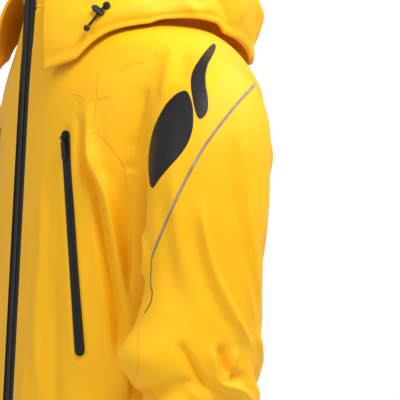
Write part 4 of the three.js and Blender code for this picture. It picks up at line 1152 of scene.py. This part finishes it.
# ---------------------------------------------------------------- lining and powder skirt
def make_inside(mats):
    columns = 260
    def lining(u, v):
        z = -106 - 454 * v
        turn = edge_turns(u, z, 0.03)
        quilt = -1.2 * np.abs(np.sin(u * 26)) * abs(math.sin(v * 30)) + 0.8
        return outwards(turn, np.full_like(turn, z), -20 + quilt)
    co = rows_of(lining, columns, 90) * MM
    obj = mesh_object("lining_shell", co, grid_faces(columns, 90), mats["lining"])
    for sign in (1, -1):
        bm = bmesh.new()
        bm.from_mesh(obj.data)
        gone = [f for f in bm.faces if sign * f.calc_center_median().x > 0.1965
                and f.calc_center_median().z > -0.25]
        bmesh.ops.delete(bm, geom=gone, context="FACES")
        bm.to_mesh(obj.data)
        bm.free()
    modifier(obj, "SOLIDIFY", thickness=1.2 * MM, offset=0)
    applied(obj)
    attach(obj, "torso")
    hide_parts("body_lining")

    def bag(u, v):
        z = -149 - 286 * v
        inner, outer = front_turn(47, z)[0], front_turn(147, z)[0] + 0.045
        turn = inner + (outer - inner) * u
        return outwards(turn, np.full_like(turn, z), -18 + 0.6 * np.sin(u * 11) * math.sin(v * 9))
    obj = walled("pocket_sack_left", rows_of(bag, 30, 60), 30, 60, False, 1.0, mats["lining"])
    for side, part in both_sides(obj, "pocket_sack").items():
        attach(part, "torso")
        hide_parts(f"pocket_bag_{side}")

    def skirt(u, v):
        z = -561.8 - 92 * v
        turn = edge_turns(u, z, 0.03)
        shrink = 1 - (11 + 22 * v) / 180
        p = torso_points(turn, np.full_like(turn, z)) * np.array([shrink, shrink, 1])
        ruffle = 1.6 * np.sin(u * 150) * v + 0.5 * np.sin(u * 420) * smoothstep(0.86, 0.9, v)
        out = unit(p * np.array([1, 1, 0]))
        return p + out * (ruffle - 2)[:, None]
    obj = walled("skirt_shell", rows_of(skirt, 560, 40), 560, 40, False, 1.6, mats["lining"])
    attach(obj, "torso")
    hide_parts("powder_skirt")


# ---------------------------------------------------------------- zips
POCKET_TOP = Vector((112.32, -112.44, -153.97)) * MM
POCKET_ACROSS = Vector((-0.90617, -0.40444, -0.12367))
POCKET_OUT = Vector((0.40261, -0.91447, 0.04054))
POCKET_DOWN = Vector((0.12949, 0.01305, -0.99150))
POCKET_LENGTH = 268.0


def block(bm, at, basis, low, high):
    """Box between two corners in a local frame."""
    corners = []
    for k in range(8):
        p = [high[a] if (k >> a) & 1 else low[a] for a in range(3)]
        corners.append(bm.verts.new(at + sum((basis[a] * p[a] * MM for a in range(3)), Vector())))
    for f in ((0, 2, 3, 1), (4, 5, 7, 6), (0, 1, 5, 4), (2, 6, 7, 3), (0, 4, 6, 2), (1, 3, 7, 5)):
        bm.faces.new([corners[i] for i in f])


def chain(name, start, down, out, length, pitch, wide, thick, material):
    """Coil of a closed zip: teeth from both sides that meet along the middle."""
    across = down.cross(out).normalized()
    basis = [across, out, down]
    bm = bmesh.new()
    for k in range(int(length / pitch)):
        at = start + down * (k + 0.5) * pitch * MM
        side = 1 if k % 2 else -1
        low, high = sorted((side * -0.5, side * wide / 2))
        block(bm, at, basis, (low, -thick, -pitch * 0.42), (high, 0, pitch * 0.42))
    bmesh.ops.recalc_face_normals(bm, faces=bm.faces)
    return from_bmesh(bm, name, material)


def make_main_zip(mats):
    top = Vector((0, -front_depth(COLLAR_TOP) * MM, COLLAR_TOP * MM))
    down = Vector((0, -FRONT_SLOPE, -1)).normalized()
    out = Vector((0, -1, FRONT_SLOPE)).normalized()
    length = (COLLAR_TOP - HEM_Z) / -down.z
    teeth = chain("zip_teeth", top + down * 1.5 * MM - out * 0.4 * MM, down, out, length - 3, 2.4,
                  6.4, 2.6, mats["plastic"])
    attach(teeth, "torso")
    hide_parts("main_zip_chain")
    for side, sign in SIGN.items():
        def point(u, v):
            s = 2.6 + 15.6 * v
            puff = 0.5 * math.exp(-((v - 0.16) / 0.08) ** 2) - 0.3 * (v > 0.9)
            at = np.array(top)[None, :] / MM + np.array(down)[None, :] * (1 + (length - 2) * u)[:, None]
            return at + np.array([sign * s, 0, 0]) + np.array(out) * (-1.5 + puff)
        obj = walled(f"zip_tape_{side}", rows_of(point, 160, 14), 160, 14, False, 1.0, mats["tape"])
        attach(obj, "torso")
        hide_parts(f"main_zip_tape_{side}")


POCKET_TAPE = {"radius": 6.8, "past": 0.8, "low": -3.0, "high": 1.1, "slit": 1.3, "crown": 0.5}


def make_pocket_zips(mats):
    """Coated welded zip: a long low dome with round ends and a slit along its middle."""
    size = POCKET_TAPE
    r, low, high = size["radius"], size["low"], size["high"]
    start, end = -size["past"], POCKET_LENGTH + size["past"]
    arc = [math.pi * k / 16 for k in range(17)]
    outline = [(r * math.cos(a), start + r - r * math.sin(a)) for a in arc]
    outline += [(-r * math.cos(a), end - r + r * math.sin(a)) for a in arc]
    bm = bmesh.new()
    bm.faces.new([bm.verts.new((a, z, 0)) for a, z in outline])
    cuts = [((a, 0, 0), (1, 0, 0)) for a in (-r * 0.55, -0.6, 0.6, r * 0.55, -r * 0.85, r * 0.85, 0)]
    cuts += [((0, start + (end - start) * k / 70, 0), (0, 1, 0)) for k in range(1, 70)]
    for at, normal in cuts:
        bmesh.ops.bisect_plane(bm, geom=bm.verts[:] + bm.edges[:] + bm.faces[:], plane_co=at,
                               plane_no=normal, dist=1e-4)
    for v in bm.verts:
        a, z = v.co.x, v.co.y
        rise = high + size["crown"] * (1 - (a / r) ** 2) - (size["slit"] if abs(a) < 0.3 else 0)
        v.co = POCKET_TOP + (POCKET_ACROSS * a + POCKET_DOWN * z + POCKET_OUT * rise) * MM
    bmesh.ops.recalc_face_normals(bm, faces=bm.faces)
    obj = from_bmesh(bm, "pocket_tape_left", mats["tape"])
    if sum(p.normal.dot(POCKET_OUT) for p in obj.data.polygons) < 0:
        obj.data.flip_normals()
    modifier(obj, "SOLIDIFY", thickness=(high - low) * MM, offset=-1)
    applied(obj)
    for side, part in both_sides(obj, "pocket_tape").items():
        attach(part, "torso")
        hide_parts(f"pocket_zip_{side}")


# ---------------------------------------------------------------- hood drawcords
CORD_START = Vector((138.04, -70.11, -2.11)) * MM
CORD_WAY = Vector((-0.16736, -0.60780, -0.77626))
CORD_LENGTH = 33
CORD_DIAMETER = 3


def make_cord(side, mats):
    flip = Vector((SIGN[side], 1, 1))
    points = [(CORD_START + CORD_WAY * CORD_LENGTH * MM * k / 20) * flip for k in range(21)]
    data = bpy.data.curves.new(f"drawcord_{side}", "CURVE")
    data.dimensions = "3D"
    spline = data.splines.new("POLY")
    spline.points.add(len(points) - 1)
    for point, at in zip(spline.points, points):
        point.co = (*at, 1)
    data.bevel_depth = CORD_DIAMETER / 2 * MM
    data.bevel_resolution = 4
    data.use_fill_caps = True
    data.materials.append(mats["tape"])
    cord = bpy.data.objects.new(f"drawcord_{side}", data)
    bpy.context.collection.objects.link(cord)
    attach(cord, "torso")
    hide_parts(f"hood_cord_{side}")
    tuple(points[0])


# ---------------------------------------------------------------- what the CAD's own nodes wear
def finish_nodes(mats):
    wear = {
        "plastic": ["main_zip_pull", "hood_cord_end", "hood_cord_lock", "hood_lock_button",
                    "hood_cord_eyelet", "pocket_pull"],
        "metal": ["main_zip_slider", "pocket_slider", "skirt_snap"],
        "lining": ["inner_storm_flap", "chin_guard", "front_facing"],
        "tape": ["hanger_loop"],
    }
    for kind, starts in wear.items():
        for name, obj in NODES.items():
            if any(name.startswith(start) for start in starts):
                obj.data.materials.clear()
                obj.data.materials.append(mats[kind])


def declare_soft():
    for obj in list(bpy.data.objects):
        if obj.type != "MESH" or obj.hide_render:
            continue


# ---------------------------------------------------------------- the whole jacket
make_camera()
mats = make_materials()
for cord_side in SIGN:
    make_cord(cord_side, mats)
make_world()
make_floor()
skin_tree = make_skin(mats)
make_hood(mats)
make_seams(skin_tree, mats)
make_print(skin_tree, mats)
make_collar(mats)
make_hem(mats)
make_cuffs(mats)
make_inside(mats)
make_main_zip(mats)
make_pocket_zips(mats)
finish_nodes(mats)
declare_soft()
